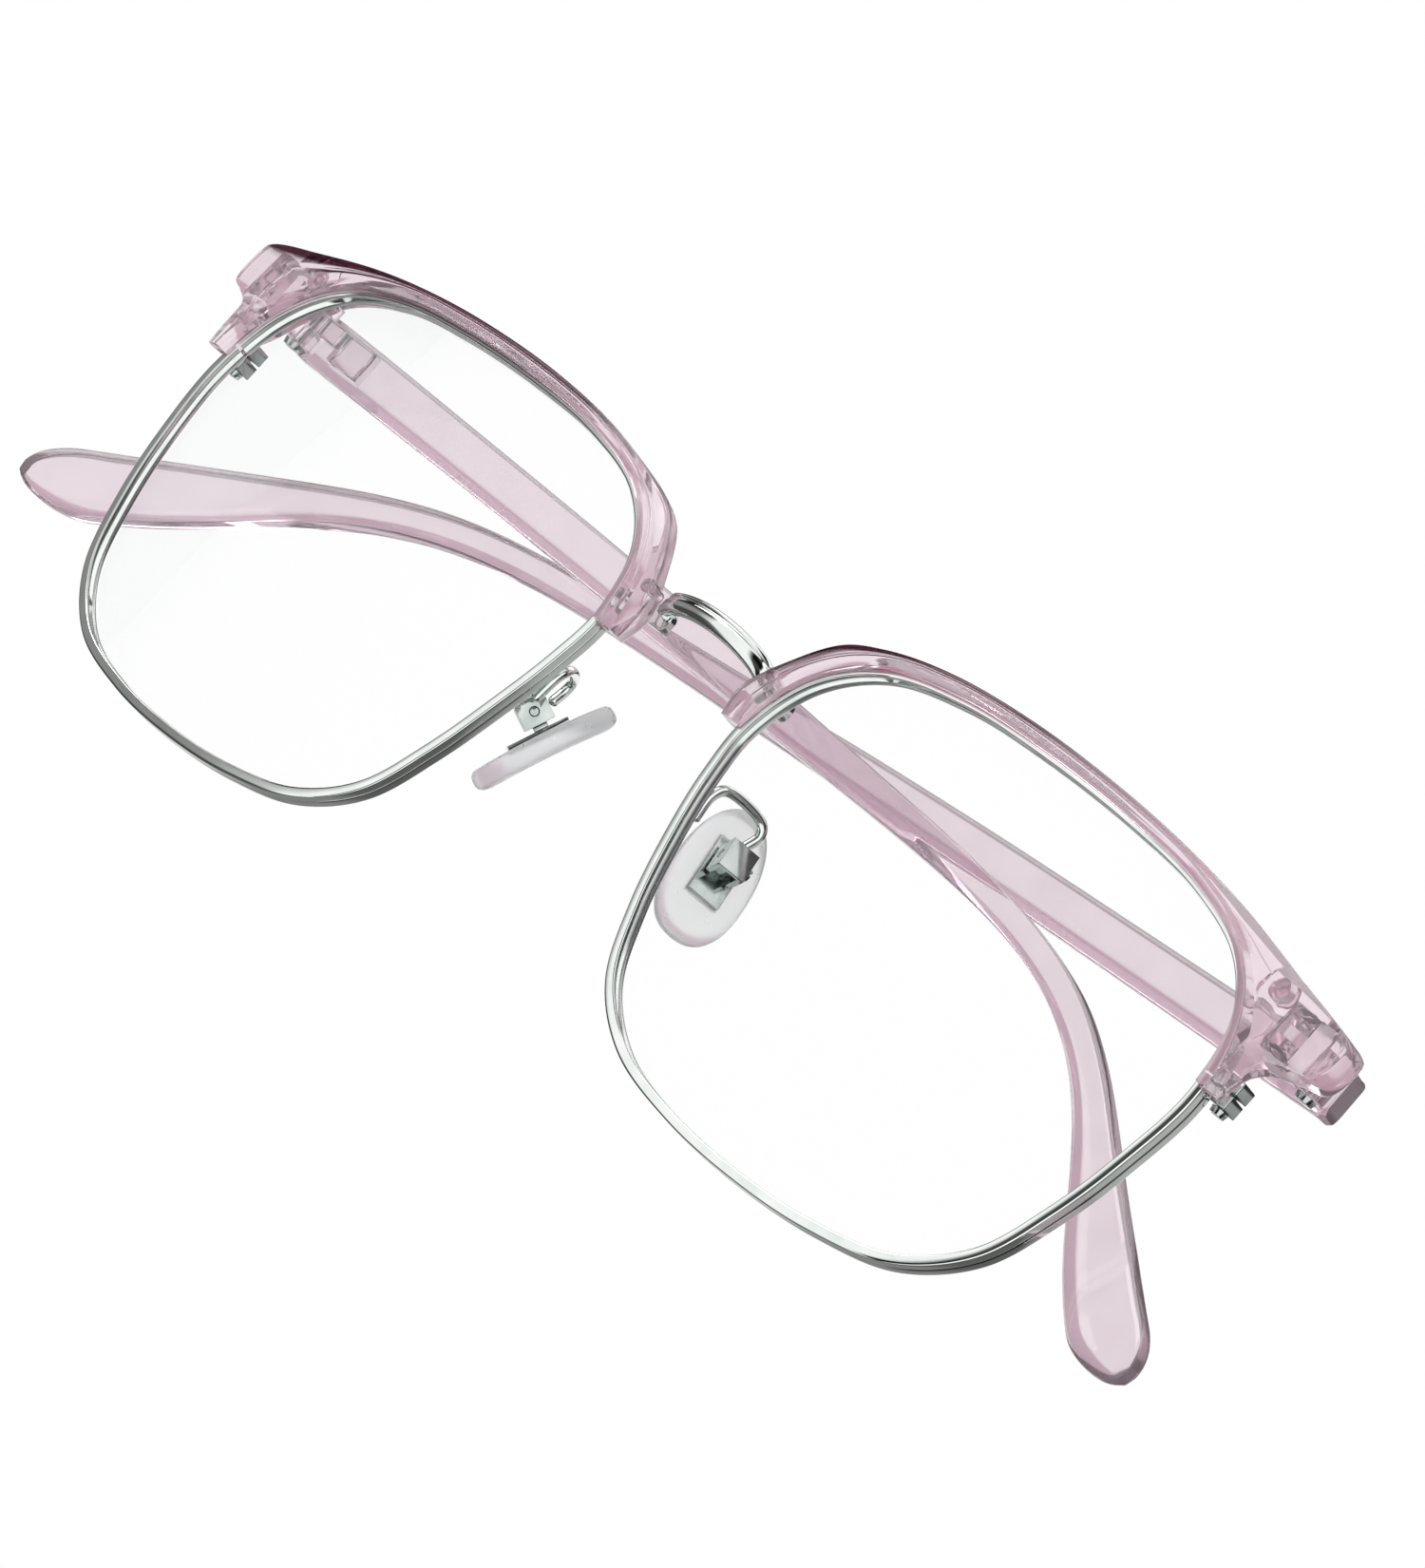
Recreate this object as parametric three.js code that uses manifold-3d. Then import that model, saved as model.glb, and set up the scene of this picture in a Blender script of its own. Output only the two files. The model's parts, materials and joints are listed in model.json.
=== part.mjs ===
// Browline spectacles, temples folded. Millimetres, +Z up.
// The front faces -Y, the wearer's side is +Y, and the wearer's left is +X.
// Everything is laid out in a "front frame" whose zero is on the centre line, level with the lens
// centres and at the middle of the lens edge. The whole group is then moved so that the origin is at
// the bottom centre of the bounding box.
import * as THREE from 'three';
import Module from 'manifold-3d';
import { mergeVertices } from 'three/addons/utils/BufferGeometryUtils.js';

const wasm = await Module();
wasm.setup();

// ---- driving dimensions ------------------------------------------------------------------------
const LENS_WIDTH = 51;            // boxed lens width; the outline below is 40 mm high
const BRIDGE_WIDTH = 20;          // between the lenses
const LENS_X = (LENS_WIDTH + BRIDGE_WIDTH) / 2;
const WRAP = THREE.MathUtils.degToRad(6.4);   // each lens plane turns back by this much
const BASE_RADIUS = 176;          // radius of the lens curve
const LENS_THICKNESS = 1.6;
const RIM_THICK = 0.85;           // rim wire, across the lens plane
const RIM_DEPTH = 1.8;            // rim wire, front to back
const GROOVE = 0.3;               // depth of the V groove that holds the lens
const FIT = 0.08;                 // gap between pieces that touch
const LIP_FRONT = 1.15;           // brow plastic in front of the rim
const LIP_BACK = 0.9;             // brow plastic behind the rim
const PIN = new THREE.Vector2(62.0, 11.9);    // hinge screw axis, X and Y on the left side
const BLADE_Z = 14.5;             // height of the temple's middle at the hinge
const KNUCKLES = { low: [12.8, 14.3], middle: [14.4, 16.0], high: [16.1, 17.3] };
const KNUCKLE_R = 1.4;
const TEMPLE_REACH = 139.5;       // hinge screw to tip, along the temple
const TEMPLE_INNER = 1.0;         // hinge axis to the temple's inner face
// How far each folded temple stands off square. Then how its far part curves in towards the head,
// how much later it drops towards the ear and by what share: each temple has been bent to fit the
// wearer, so the two differ a little.
const FOLD = { right: THREE.MathUtils.degToRad(2.1), left: THREE.MathUtils.degToRad(4.6) };
const BOW = {
  right: { from: 44, depth: 13.2, late: 0, drop: 1.03 },
  left: { from: 64, depth: 14.9, late: 4.6, drop: 0.95 },
};

const FINISH = {
  plastic: { color: 0xe2cdd8, roughness: 0.12, metalness: 0, transparent: true, opacity: 0.6 },
  metal: { color: 0xb2bcb6, roughness: 0.18, metalness: 1 },
  lens: { color: 0xf4f8fb, roughness: 0.03, metalness: 0, transparent: true, opacity: 0.25 },
  silicone: { color: 0xe6ecee, roughness: 0.3, metalness: 0, transparent: true, opacity: 0.7 },
};
const finishes = {};
for (const [name, look] of Object.entries(FINISH)) finishes[name] = new THREE.MeshStandardMaterial(look);

// Boxed outline of the lens seen from the front: across (nasal side negative) and up.
const OUTLINE = [
  [24.3, 6.5], [23.6, -0.5], [22.1, -7], [19.6, -13], [14.6, -17.3], [7.4, -19.25], [0, -19.85],
  [-8, -19.45], [-15.2, -17.75], [-20.2, -14.1], [-23, -8.6], [-25, -2.4], [-26.3, 3.2], [-26.7, 8],
  [-24.9, 13.7], [-20.4, 17.7], [-13, 19.65], [-5, 20.2], [5, 20.1], [12.8, 19.3], [19.2, 17.0],
  [22.9, 12.8],
];
const SPLIT_HEIGHT = 8.6;         // where the rim opens at its closing blocks
const SPLIT_ANGLE = 19.5;         // the same place as an angle about the lens centre, degrees
const SPLIT_HALF = 0.35;          // half of the split, degrees

// Outer edge of the brow piece, from the nasal end over the top to the temporal tail: across, up,
// and the angle about the lens centre of the place on the lens outline that it stands on.
const BROW_EDGE = [
  [-29.0, 7.4, 164.5], [-29.5, 10, 160], [-27.6, 14.0, 153], [-25.0, 17.4, 145], [-21.6, 19.0, 137],
  [-15, 20.65, 124], [-7, 21.45, 108], [1, 21.55, 88], [9, 21.15, 67], [17, 20.15, 50],
  [24.5, 18.5, 42], [30.2, 17.15, 38], [30.75, 16.7, 35.5], [30.5, 13.2, 31], [28.8, 12.5, 28.5],
  [27.0, 11.6, 25.5], [26.7, 9.5, 21.5], [26.4, 7.3, 17],
];

// ---- mesh helpers ------------------------------------------------------------------------------
function meshData(points, triangles) {
  let volume = 0;
  for (const [a, b, c] of triangles) volume += points[a].dot(points[b].clone().cross(points[c]));
  const faces = volume < 0 ? triangles.map(([a, b, c]) => [a, c, b]) : triangles;
  const geometry = new THREE.BufferGeometry();
  const flat = points.flatMap((p) => p.toArray());
  geometry.setAttribute('position', new THREE.Float32BufferAttribute(flat, 3));
  geometry.setIndex(faces.flat());
  return geometry;
}

// A solid through rings of points that all follow one section, capped at both ends.
function loft(rings, section) {
  const size = section.length;
  const last = (rings.length - 1) * size;
  const triangles = [];
  for (let from = 0; from < last; from += size) {
    for (let j = 0; j < size; j += 1) {
      const next = (j + 1) % size;
      const to = from + size;
      triangles.push([from + j, from + next, to + next], [from + j, to + next, to + j]);
    }
  }
  const clockwise = THREE.ShapeUtils.area(section) < 0;
  for (const [a, p, q] of THREE.ShapeUtils.triangulateShape(section, [])) {
    const [b, c] = clockwise ? [q, p] : [p, q];
    triangles.push([a, c, b], [last + a, last + b, last + c]);
  }
  return meshData(rings.flat(), triangles);
}

function toSolid(geometry) {
  const bare = geometry.clone();
  bare.deleteAttribute('normal');
  bare.deleteAttribute('uv');
  const merged = mergeVertices(bare, 1e-5);
  const count = merged.attributes.position.count;
  const index = merged.index ? merged.index.array : Uint32Array.from({ length: count }, (_, i) => i);
  return new wasm.Manifold(new wasm.Mesh({
    numProp: 3,
    vertProperties: new Float32Array(merged.attributes.position.array),
    triVerts: new Uint32Array(index),
  }));
}

function fromSolid(solid) {
  const mesh = solid.getMesh();
  const geometry = new THREE.BufferGeometry();
  geometry.setAttribute('position', new THREE.Float32BufferAttribute(mesh.vertProperties, 3));
  geometry.setIndex(Array.from(mesh.triVerts));
  return geometry;
}

const join = (...parts) => fromSolid(parts.map(toSolid).reduce((a, b) => a.add(b)));
const cut = (body, ...tools) => fromSolid(
  tools.map(toSolid).reduce((a, b) => a.subtract(b), toSolid(body)));

function box(x, y, z) {
  return new THREE.BoxGeometry(x[1] - x[0], y[1] - y[0], z[1] - z[0])
    .translate((x[0] + x[1]) / 2, (y[0] + y[1]) / 2, (z[0] + z[1]) / 2);
}

function post(x, y, z, radius, sides = 20) {
  return new THREE.CylinderGeometry(radius, radius, z[1] - z[0], sides)
    .rotateX(Math.PI / 2).translate(x, y, (z[0] + z[1]) / 2);
}

// A small screw along +Z: shank, then a head at the low end with a slot across it.
function screw(length, shank, head, headHeight) {
  const body = join(
    new THREE.CylinderGeometry(shank, shank, length, 14)
      .rotateX(Math.PI / 2).translate(0, 0, length / 2),
    new THREE.CylinderGeometry(head, head * 0.85, headHeight, 20).rotateX(Math.PI / 2)
      .translate(0, 0, -headHeight / 2 + 0.01),
  );
  return cut(body, box([-head, head], [-0.14, 0.14], [-headHeight - 0.2, -headHeight * 0.5]));
}

const model = new THREE.Group();
function add(parent, name, finish, geometry) {
  const mesh = new THREE.Mesh(geometry, finishes[finish]);
  mesh.name = name;
  parent.add(mesh);
  return mesh;
}

// ---- lens plane --------------------------------------------------------------------------------
// A point of a lens plane (across, up, back) in the front frame.
function onLens(side, u, v, back) {
  const sag = (u * u + v * v) / (2 * BASE_RADIUS);
  const x = LENS_X + u * Math.cos(WRAP);
  return new THREE.Vector3(side * x, u * Math.sin(WRAP) + sag + back, v);
}

const outlineCurve = new THREE.CatmullRomCurve3(
  OUTLINE.map(([u, v]) => new THREE.Vector3(u, v, 0)), true, 'centripetal');
const OUTLINE_STEPS = 720;
const outlineSamples = [];
for (let i = 0; i < OUTLINE_STEPS; i += 1) {
  const p = outlineCurve.getPoint(i / OUTLINE_STEPS);
  const t = outlineCurve.getTangent(i / OUTLINE_STEPS);
  const normal = new THREE.Vector2(t.y, -t.x).normalize();
  if (normal.x * p.x + normal.y * p.y < 0) normal.negate();
  const angle = THREE.MathUtils.euclideanModulo(Math.atan2(p.y, p.x), 2 * Math.PI);
  outlineSamples.push({ u: p.x, v: p.y, normal, angle });
}
outlineSamples.sort((a, b) => a.angle - b.angle);

// The lens outline at an angle about the lens centre, with its outward normal.
function outlineAt(degrees) {
  const angle = THREE.MathUtils.euclideanModulo(THREE.MathUtils.degToRad(degrees), 2 * Math.PI);
  let hi = outlineSamples.findIndex((s) => s.angle >= angle);
  if (hi < 0) hi = 0;
  const a = outlineSamples[(hi + OUTLINE_STEPS - 1) % OUTLINE_STEPS];
  const b = outlineSamples[hi];
  const span = THREE.MathUtils.euclideanModulo(b.angle - a.angle, 2 * Math.PI) || 1;
  const k = THREE.MathUtils.clamp(
    THREE.MathUtils.euclideanModulo(angle - a.angle, 2 * Math.PI) / span, 0, 1);
  return {
    u: a.u + (b.u - a.u) * k,
    v: a.v + (b.v - a.v) * k,
    normal: a.normal.clone().lerp(b.normal, k).normalize(),
  };
}

function offsetPoint(side, at, out, back) {
  return onLens(side, at.u + at.normal.x * out, at.v + at.normal.y * out, back);
}

// ---- rim, lens and closing blocks --------------------------------------------------------------
const RIM_STEPS = 76;
function rim(side) {
  const t = RIM_THICK / 2;
  const d = RIM_DEPTH / 2;
  const section = [
    [-t, -d], [-t, -0.45], [-t + GROOVE, 0], [-t, 0.45], [-t, d], [t - 0.12, d], [t, d - 0.25],
    [t, -d + 0.25], [t - 0.12, -d],
  ].map(([a, b]) => new THREE.Vector2(a, b));
  const rings = [];
  for (let i = 0; i <= RIM_STEPS; i += 1) {
    const angle = SPLIT_ANGLE + SPLIT_HALF + (360 - 2 * SPLIT_HALF) * (i / RIM_STEPS);
    const at = outlineAt(angle);
    rings.push(section.map((p) => offsetPoint(side, at, p.x, p.y)));
  }
  return loft(rings, section);
}

const LENS_SECTORS = 48;
function lens(side) {
  const half = LENS_THICKNESS / 2;
  const edge = -RIM_THICK / 2 - FIT;
  const points = [onLens(side, 0, 0, -half), onLens(side, 0, 0, half)];
  const profile = [];
  for (const scale of [0.35, 0.7]) profile.push((at) => onLens(side, at.u * scale, at.v * scale, -half));
  profile.push((at) => offsetPoint(side, at, edge, -half));
  profile.push((at) => offsetPoint(side, at, edge, -0.4));
  profile.push((at) => offsetPoint(side, at, edge + GROOVE, 0));
  profile.push((at) => offsetPoint(side, at, edge, 0.4));
  profile.push((at) => offsetPoint(side, at, edge, half));
  for (const scale of [0.7, 0.35]) profile.push((at) => onLens(side, at.u * scale, at.v * scale, half));
  for (let i = 0; i < LENS_SECTORS; i += 1) {
    const at = outlineAt((360 * i) / LENS_SECTORS);
    for (const place of profile) points.push(place(at));
  }
  const rows = profile.length;
  const triangles = [];
  for (let i = 0; i < LENS_SECTORS; i += 1) {
    const a = 2 + i * rows;
    const b = 2 + ((i + 1) % LENS_SECTORS) * rows;
    triangles.push([0, b, a], [1, a + rows - 1, b + rows - 1]);
    for (let j = 0; j < rows - 1; j += 1) {
      triangles.push([a + j, b + j, b + j + 1], [a + j, b + j + 1, a + j + 1]);
    }
  }
  return meshData(points, triangles);
}

// Two barrels behind the temporal side of the rim, drawn together by an upright screw.
const BLOCK = { width: 1.7, depth: 2.1, height: 1.2, out: 0.95, gap: 0.1 };
function blockPlace(side) {
  const at = offsetPoint(side, outlineAt(SPLIT_ANGLE), BLOCK.out, RIM_DEPTH / 2 + FIT);
  return { x: [at.x - BLOCK.width / 2, at.x + BLOCK.width / 2], y: [at.y, at.y + BLOCK.depth] };
}

function closingBlocks(side, label) {
  const { x, y } = blockPlace(side);
  const low = [SPLIT_HEIGHT - BLOCK.gap - BLOCK.height, SPLIT_HEIGHT - BLOCK.gap];
  const high = [SPLIT_HEIGHT + BLOCK.gap, SPLIT_HEIGHT + BLOCK.gap + BLOCK.height];
  const middle = [(x[0] + x[1]) / 2, (y[0] + y[1]) / 2];
  const hole = post(...middle, [low[0] - 1, high[1] + 1], 0.5, 16);
  add(model, `closing_block_upper_${label}`, 'metal', cut(box(x, y, high), hole));
  add(model, `closing_block_lower_${label}`, 'metal', cut(box(x, y, low), hole));
  const pin = add(model, `closing_screw_${label}`, 'metal', screw(2.6, 0.42, 0.8, 0.5));
  pin.position.set(...middle, low[0] - FIT);
}

// ---- brow --------------------------------------------------------------------------------------
const browCurve = new THREE.CatmullRomCurve3(
  BROW_EDGE.map(([u, v]) => new THREE.Vector3(u, v, 0)), false, 'centripetal');
const BROW_STEPS = 4;             // rings per brow edge point
const END_SWEEP_FROM = 26;        // past here the end piece sweeps back towards the hinge
const END_SWEEP = 0.02;
const NASAL_TAPER = [15, 24];     // the plastic thins over this stretch towards the nasal end

// Points of the brow's section: offset from the rim's centre line, part of the way to the outer
// edge, and back. The plastic wraps the outer half of the rim on three sides.
function browSection(taper) {
  const front = -RIM_DEPTH / 2 - FIT;
  const back = RIM_DEPTH / 2 + FIT;
  const face = front - LIP_FRONT * (1 - 0.35 * taper);
  const rear = back + LIP_BACK * (1 - 0.85 * taper);
  const floor = RIM_THICK / 2 + FIT;
  return [
    [0.05, 0, face + 0.3], [-0.05, 0, face + 0.6], [-0.05, 0, front],
    [floor, 0, front], [floor, 0, back], [-0.1, 0, back], [-0.1, 0, rear - 0.15],
    [0.1, 0, rear], [floor, 0.72, rear], [floor, 1, rear - 0.2],
    [floor, 1, face + 0.75], [floor, 0.55, face], [floor, 0, face],
  ];
}

function brow(side) {
  const flat = browSection(0).map(([a, f, b]) => new THREE.Vector2(a + f * 2, b));
  const rings = [];
  const spans = BROW_EDGE.length - 1;
  for (let i = 0; i <= spans * BROW_STEPS; i += 1) {
    const k = i / BROW_STEPS;
    const low = Math.min(Math.floor(k), spans - 1);
    const at = outlineAt(THREE.MathUtils.lerp(BROW_EDGE[low][2], BROW_EDGE[low + 1][2], k - low));
    const edge = browCurve.getPoint(k / spans);
    const section = browSection(THREE.MathUtils.smoothstep(-at.u, ...NASAL_TAPER));
    rings.push(section.map(([a, f, b]) => {
      const u = THREE.MathUtils.lerp(at.u + at.normal.x * a, edge.x, f);
      const v = THREE.MathUtils.lerp(at.v + at.normal.y * a, edge.y, f);
      return onLens(side, u, v, b + END_SWEEP * Math.max(0, u - END_SWEEP_FROM) ** 2);
    }));
  }
  return loft(rings, flat);
}

// Clear studs that pass through the brow along Y: X, Z, front and back ends, radius.
const STUDS = {
  nasal: { x: 7.4, z: 12.0, y: [-2.2, 0.6], radius: 0.55 },
  temporal: { x: 58.1, z: 16.8, y: [3.7, 7.6], radius: 0.75 },
};
function holeAlongY(side, s, radius) {
  return new THREE.CylinderGeometry(radius, radius, 12, 18).translate(side * s.x, s.y[0] + 6, s.z);
}

const LEAF = { x: [60.4, 63.1], y: [5.3, 9.7], z: [12.8, 16.9] };
function grow(range, by) {
  return [range[0] - by, range[1] + by];
}
function mirrored(side, range) {
  return side > 0 ? range : [-range[1], -range[0]];
}

function browPieces(side, label) {
  const tools = Object.values(STUDS).map((s) => holeAlongY(side, s, s.radius + FIT));
  tools.push(box(mirrored(side, grow(LEAF.x, FIT)), [LEAF.y[0] - FIT, 14], grow(LEAF.z, FIT)));
  const { x, y } = blockPlace(side);
  tools.push(box(grow(x, FIT), grow(y, FIT), [5, SPLIT_HEIGHT + BLOCK.gap + BLOCK.height + FIT]));
  add(model, `brow_${label}`, 'plastic', cut(brow(side), ...tools));
  for (const [name, s] of Object.entries(STUDS)) {
    const stud = new THREE.CylinderGeometry(s.radius, s.radius, s.y[1] - s.y[0], 20);
    add(model, `${name}_stud_${label}`, 'plastic', stud)
      .position.set(side * s.x, (s.y[0] + s.y[1]) / 2, s.z);
  }
}

// ---- hinges ------------------------------------------------------------------------------------
const BORE = 0.55;
const LINK = { inner: 1.1, outer: 0.6, overlap: 0.8 };   // bar from the leaf's plate to a knuckle
function frontLeaf(side) {
  const link = mirrored(side, [PIN.x - LINK.inner, PIN.x + LINK.outer]);
  const parts = [box(mirrored(side, LEAF.x), LEAF.y, LEAF.z)];
  for (const z of [KNUCKLES.low, KNUCKLES.high]) {
    parts.push(post(side * PIN.x, PIN.y, z, KNUCKLE_R));
    parts.push(box(link, [LEAF.y[1] - LINK.overlap, PIN.y], z));
  }
  const gap = post(side * PIN.x, PIN.y, KNUCKLES.middle, KNUCKLE_R + 0.25);
  return cut(join(...parts), gap, post(side * PIN.x, PIN.y, [8, 22], BORE, 14));
}

function hingeScrew(side, label) {
  const piece = add(model, `hinge_screw_${label}`, 'metal', screw(4.6, 0.46, 0.95, 0.55));
  piece.position.set(side * PIN.x, PIN.y, KNUCKLES.low[0] - FIT);
}

// ---- temples -----------------------------------------------------------------------------------
// A temple is built open, running back from its hinge axis: along, out and up from that axis.
// Each table gives a value at distances along the temple.
const SLOPE = [[-3, 1.3], [25, 1.5], [48, 2.3], [75, 2.9], [84, 5], [91, 8.5], [97, 14.5], [103, 24.5],
  [109, 33], [115, 38], [121, 39], [130, 35], [TEMPLE_REACH, 27]];
const HALF_HEIGHT = [[-3, 2.2], [6, 2.2], [20, 2.08], [40, 1.95], [57, 1.75], [70, 1.45], [81, 1.3],
  [95, 1.22], [104, 1.32], [110, 1.4], [118, 1.85], [125, 2.63], [131, 3.05], [TEMPLE_REACH, 3.05]];
const THICKNESS = [[-3, 3.1], [20, 2.8], [45, 2.6], [90, 2.4], [TEMPLE_REACH, 2.3]];
const ROOT = { start: -1.3, slant: 0.8 };     // the butt leans back towards the outside
// The tip's nose sits above the middle: its top edge rounds over and its lower edge is cut slantwise.
const TIP = { nose: 0.24, top: { length: 5.1, power: 2 }, bottom: { length: 6, power: 1.27 } };
const TEMPLE_RINGS = 40;

function along(table, s) {
  const i = Math.max(1, table.findIndex(([at]) => at >= s));
  const [a, b] = [table[i - 1], table[i]];
  return THREE.MathUtils.mapLinear(THREE.MathUtils.clamp(s, a[0], b[0]), a[0], b[0], a[1], b[1]);
}

// Share of the way from the temple's edge to its nose line, for an edge that ends as cut says.
function tipCut(cut, s) {
  const end = THREE.MathUtils.clamp((s - TEMPLE_REACH + cut.length) / (cut.length + 0.1), 0, 1);
  return 1 - (1 - end ** cut.power) ** (1 / cut.power);
}

function templeBody(side, bow) {
  const section = [
    [-1, -0.55], [-1, 0.55], [-0.72, 1], [0.6, 1], [1, 0.6], [1, -0.6], [0.6, -1], [-0.72, -1],
  ].map(([a, b]) => new THREE.Vector2(a, b));
  const rings = [];
  let [y, z, last] = [0, 0, 0];
  for (let i = 0; i <= TEMPLE_RINGS; i += 1) {
    const s = ROOT.start + (TEMPLE_REACH - ROOT.start) * (i / TEMPLE_RINGS) ** 0.92;
    const slope = THREE.MathUtils.degToRad(along(SLOPE, (s + last) / 2 - bow.late)) * bow.drop;
    y += (s - last) * Math.cos(slope);
    z -= (s - last) * Math.sin(slope);
    last = s;
    const top = 1 + (TIP.nose - 1) * tipCut(TIP.top, s);
    const bottom = -1 + (TIP.nose + 1) * tipCut(TIP.bottom, s);
    const round = (top - bottom) / 2;
    const half = along(HALF_HEIGHT, s);
    const thick = along(THICKNESS, s);
    const curve = bow.depth * (Math.max(0, s - bow.from) / (TEMPLE_REACH - bow.from)) ** 2;
    rings.push(section.map((p) => {
      const out = TEMPLE_INNER - curve + (thick / 2) * (1 + p.x * (0.55 + 0.45 * round));
      const slant = i === 0 ? Math.max(0, p.x) * ROOT.slant : 0;
      const up = half * ((top + bottom) / 2 + p.y * round);
      return new THREE.Vector3(side * out, y + slant + up * Math.sin(slope), z + up * Math.cos(slope));
    }));
  }
  return loft(rings, section);
}

const TEMPLE_LEAF = { along: [3.0, 6.4], out: [0.55, 2.2], up: [-1.2, 1.5] };
function templePieces(side, label) {
  const group = new THREE.Group();
  group.position.set(side * PIN.x, PIN.y, BLADE_Z);
  group.rotation.z = side * (Math.PI / 2 - FOLD[label]);
  model.add(group);
  const leaf = TEMPLE_LEAF;
  const middle = KNUCKLES.middle.map((z) => z - BLADE_Z);
  const stack = [KNUCKLES.low[0] - BLADE_Z - 2, KNUCKLES.high[1] - BLADE_Z + 2];
  const pocket = box(mirrored(side, [-3, leaf.out[1] + FIT]), grow(leaf.along, FIT), grow(leaf.up, FIT));
  const slot = box(mirrored(side, [-3, 1.35]), [0, leaf.along[0] + 0.2], grow(middle, FIT));
  const relief = post(0, 0, stack, KNUCKLE_R + 0.3, 24);
  const body = cut(templeBody(side, BOW[label]), pocket, slot, relief);
  add(group, `temple_${label}`, 'plastic', body);
  const plate = box(mirrored(side, leaf.out), leaf.along, leaf.up);
  const link = box(mirrored(side, [-0.5, 1.25]), [0, leaf.along[0] + 0.4], middle);
  const knuckle = post(0, 0, middle, KNUCKLE_R);
  add(group, `hinge_temple_leaf_${label}`, 'plastic',
    cut(join(plate, link, knuckle), post(0, 0, stack, BORE, 14)));
}

// ---- bridge ------------------------------------------------------------------------------------
// A low half-round arch whose ends turn down and back into flat feet behind the brow pieces.
const BRIDGE_PATH = [[6.1, 1.6, 11.3], [6.15, 1.0, 12.0], [5.5, 0.2, 12.55], [3.2, -0.5, 13.1],
  [0, -0.8, 13.3]];
const FOOT = { x: [5.9, 9.0], y: [1.35, 2.05], z: [10.1, 11.9] };
function bridge() {
  const half = BRIDGE_PATH.map((p) => new THREE.Vector3(...p));
  const other = half.slice(0, -1).reverse().map((p) => new THREE.Vector3(-p.x, p.y, p.z));
  const path = new THREE.CatmullRomCurve3([...half, ...other], false, 'centripetal');
  const section = new THREE.Shape();
  section.absellipse(0, 0, 0.6, 0.6, 0, 2 * Math.PI);
  const bar = new THREE.ExtrudeGeometry(section, { steps: 32, curveSegments: 6, extrudePath: path });
  const feet = [-1, 1].map((side) => box(mirrored(side, FOOT.x), FOOT.y, FOOT.z));
  return join(bar, ...feet);
}

// ---- nose pads ---------------------------------------------------------------------------------
const PAD = { centre: [10.3, 6.4, -2.1], length: 12.3, width: 6.9 };
const PAD_UP = new THREE.Vector3(-0.36, 0.24, 0.9).normalize();      // left side
const PAD_FACE = new THREE.Vector3(-0.71, 0.6, -0.37).normalize();
const PIVOT = [0.55, -3.0];       // pad screw in the pad's own frame: up, and towards the nose
const PAD_BOX = { half: 1.25, y: [-0.75, 1.85], z: [-4.2, -1.9], wall: 0.45 };

function padFrame(side) {
  const up = PAD_UP.clone();
  const face = PAD_FACE.clone();
  up.x *= side;
  face.x *= side;
  up.addScaledVector(face, -up.dot(face)).normalize();
  const across = new THREE.Vector3().crossVectors(up, face);
  const frame = new THREE.Group();
  frame.quaternion.setFromRotationMatrix(new THREE.Matrix4().makeBasis(across, up, face));
  frame.position.set(side * PAD.centre[0], PAD.centre[1], PAD.centre[2]);
  frame.updateMatrixWorld();
  return frame;
}

function padOutline(scale) {
  const shape = [];
  for (let i = 0; i < 28; i += 1) {
    const a = (2 * Math.PI * i) / 28;
    const c = Math.cos(a);
    const s = Math.sin(a);
    const wide = 1 - 0.12 * s;
    const x = Math.sign(c) * Math.abs(c) ** 0.85 * wide * (PAD.width / 2 - (1 - scale));
    const y = Math.sign(s) * Math.abs(s) ** 0.85 * (PAD.length / 2 - (1 - scale));
    shape.push(new THREE.Vector2(x, y));
  }
  return shape;
}

function nosePad() {
  const rings = [[-0.9, 0.5], [-0.55, 1], [0.5, 1], [0.95, 0.4]].map(([z, scale]) => {
    const crown = (p) => 0.25 * (1 - (p.y / PAD.length * 2) ** 2);
    return padOutline(scale).map((p) => new THREE.Vector3(p.x, p.y, z - crown(p)));
  });
  return loft(rings, padOutline(1));
}

function padPieces(side, label) {
  const frame = padFrame(side);
  model.add(frame);
  const across = (radius, length) => new THREE.CylinderGeometry(radius, radius, length, 14)
    .rotateZ(Math.PI / 2).translate(0, ...PIVOT);
  const slot = box([-1.6, 1.6], [-2.7, 2.8], [-1.6, -0.55]);
  add(frame, `nose_pad_${label}`, 'silicone', cut(nosePad(), slot));
  const plate = box([-1.5, 1.5], [-2.6, 2.7], [-1.5, -0.65]);
  const tab = box([-0.45, 0.45], [-0.1, 1.1], [-3.6, -1.4]);
  add(frame, `pad_insert_${label}`, 'metal', cut(join(plate, tab), across(0.42, 4)));
  const { half, y, z, wall } = PAD_BOX;
  const hollow = box([-half + wall, half - wall], [-3, y[1] - wall], [z[0] + wall, 0]);
  add(frame, `pad_box_${label}`, 'metal', cut(box([-half, half], y, z), hollow, across(0.42, 6)));
  const pin = add(frame, `pad_screw_${label}`, 'metal', screw(2 * half, 0.34, 0.6, 0.35));
  pin.rotation.y = side * Math.PI / 2;
  pin.position.set(-side * (half + FIT), ...PIVOT);
}

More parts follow.
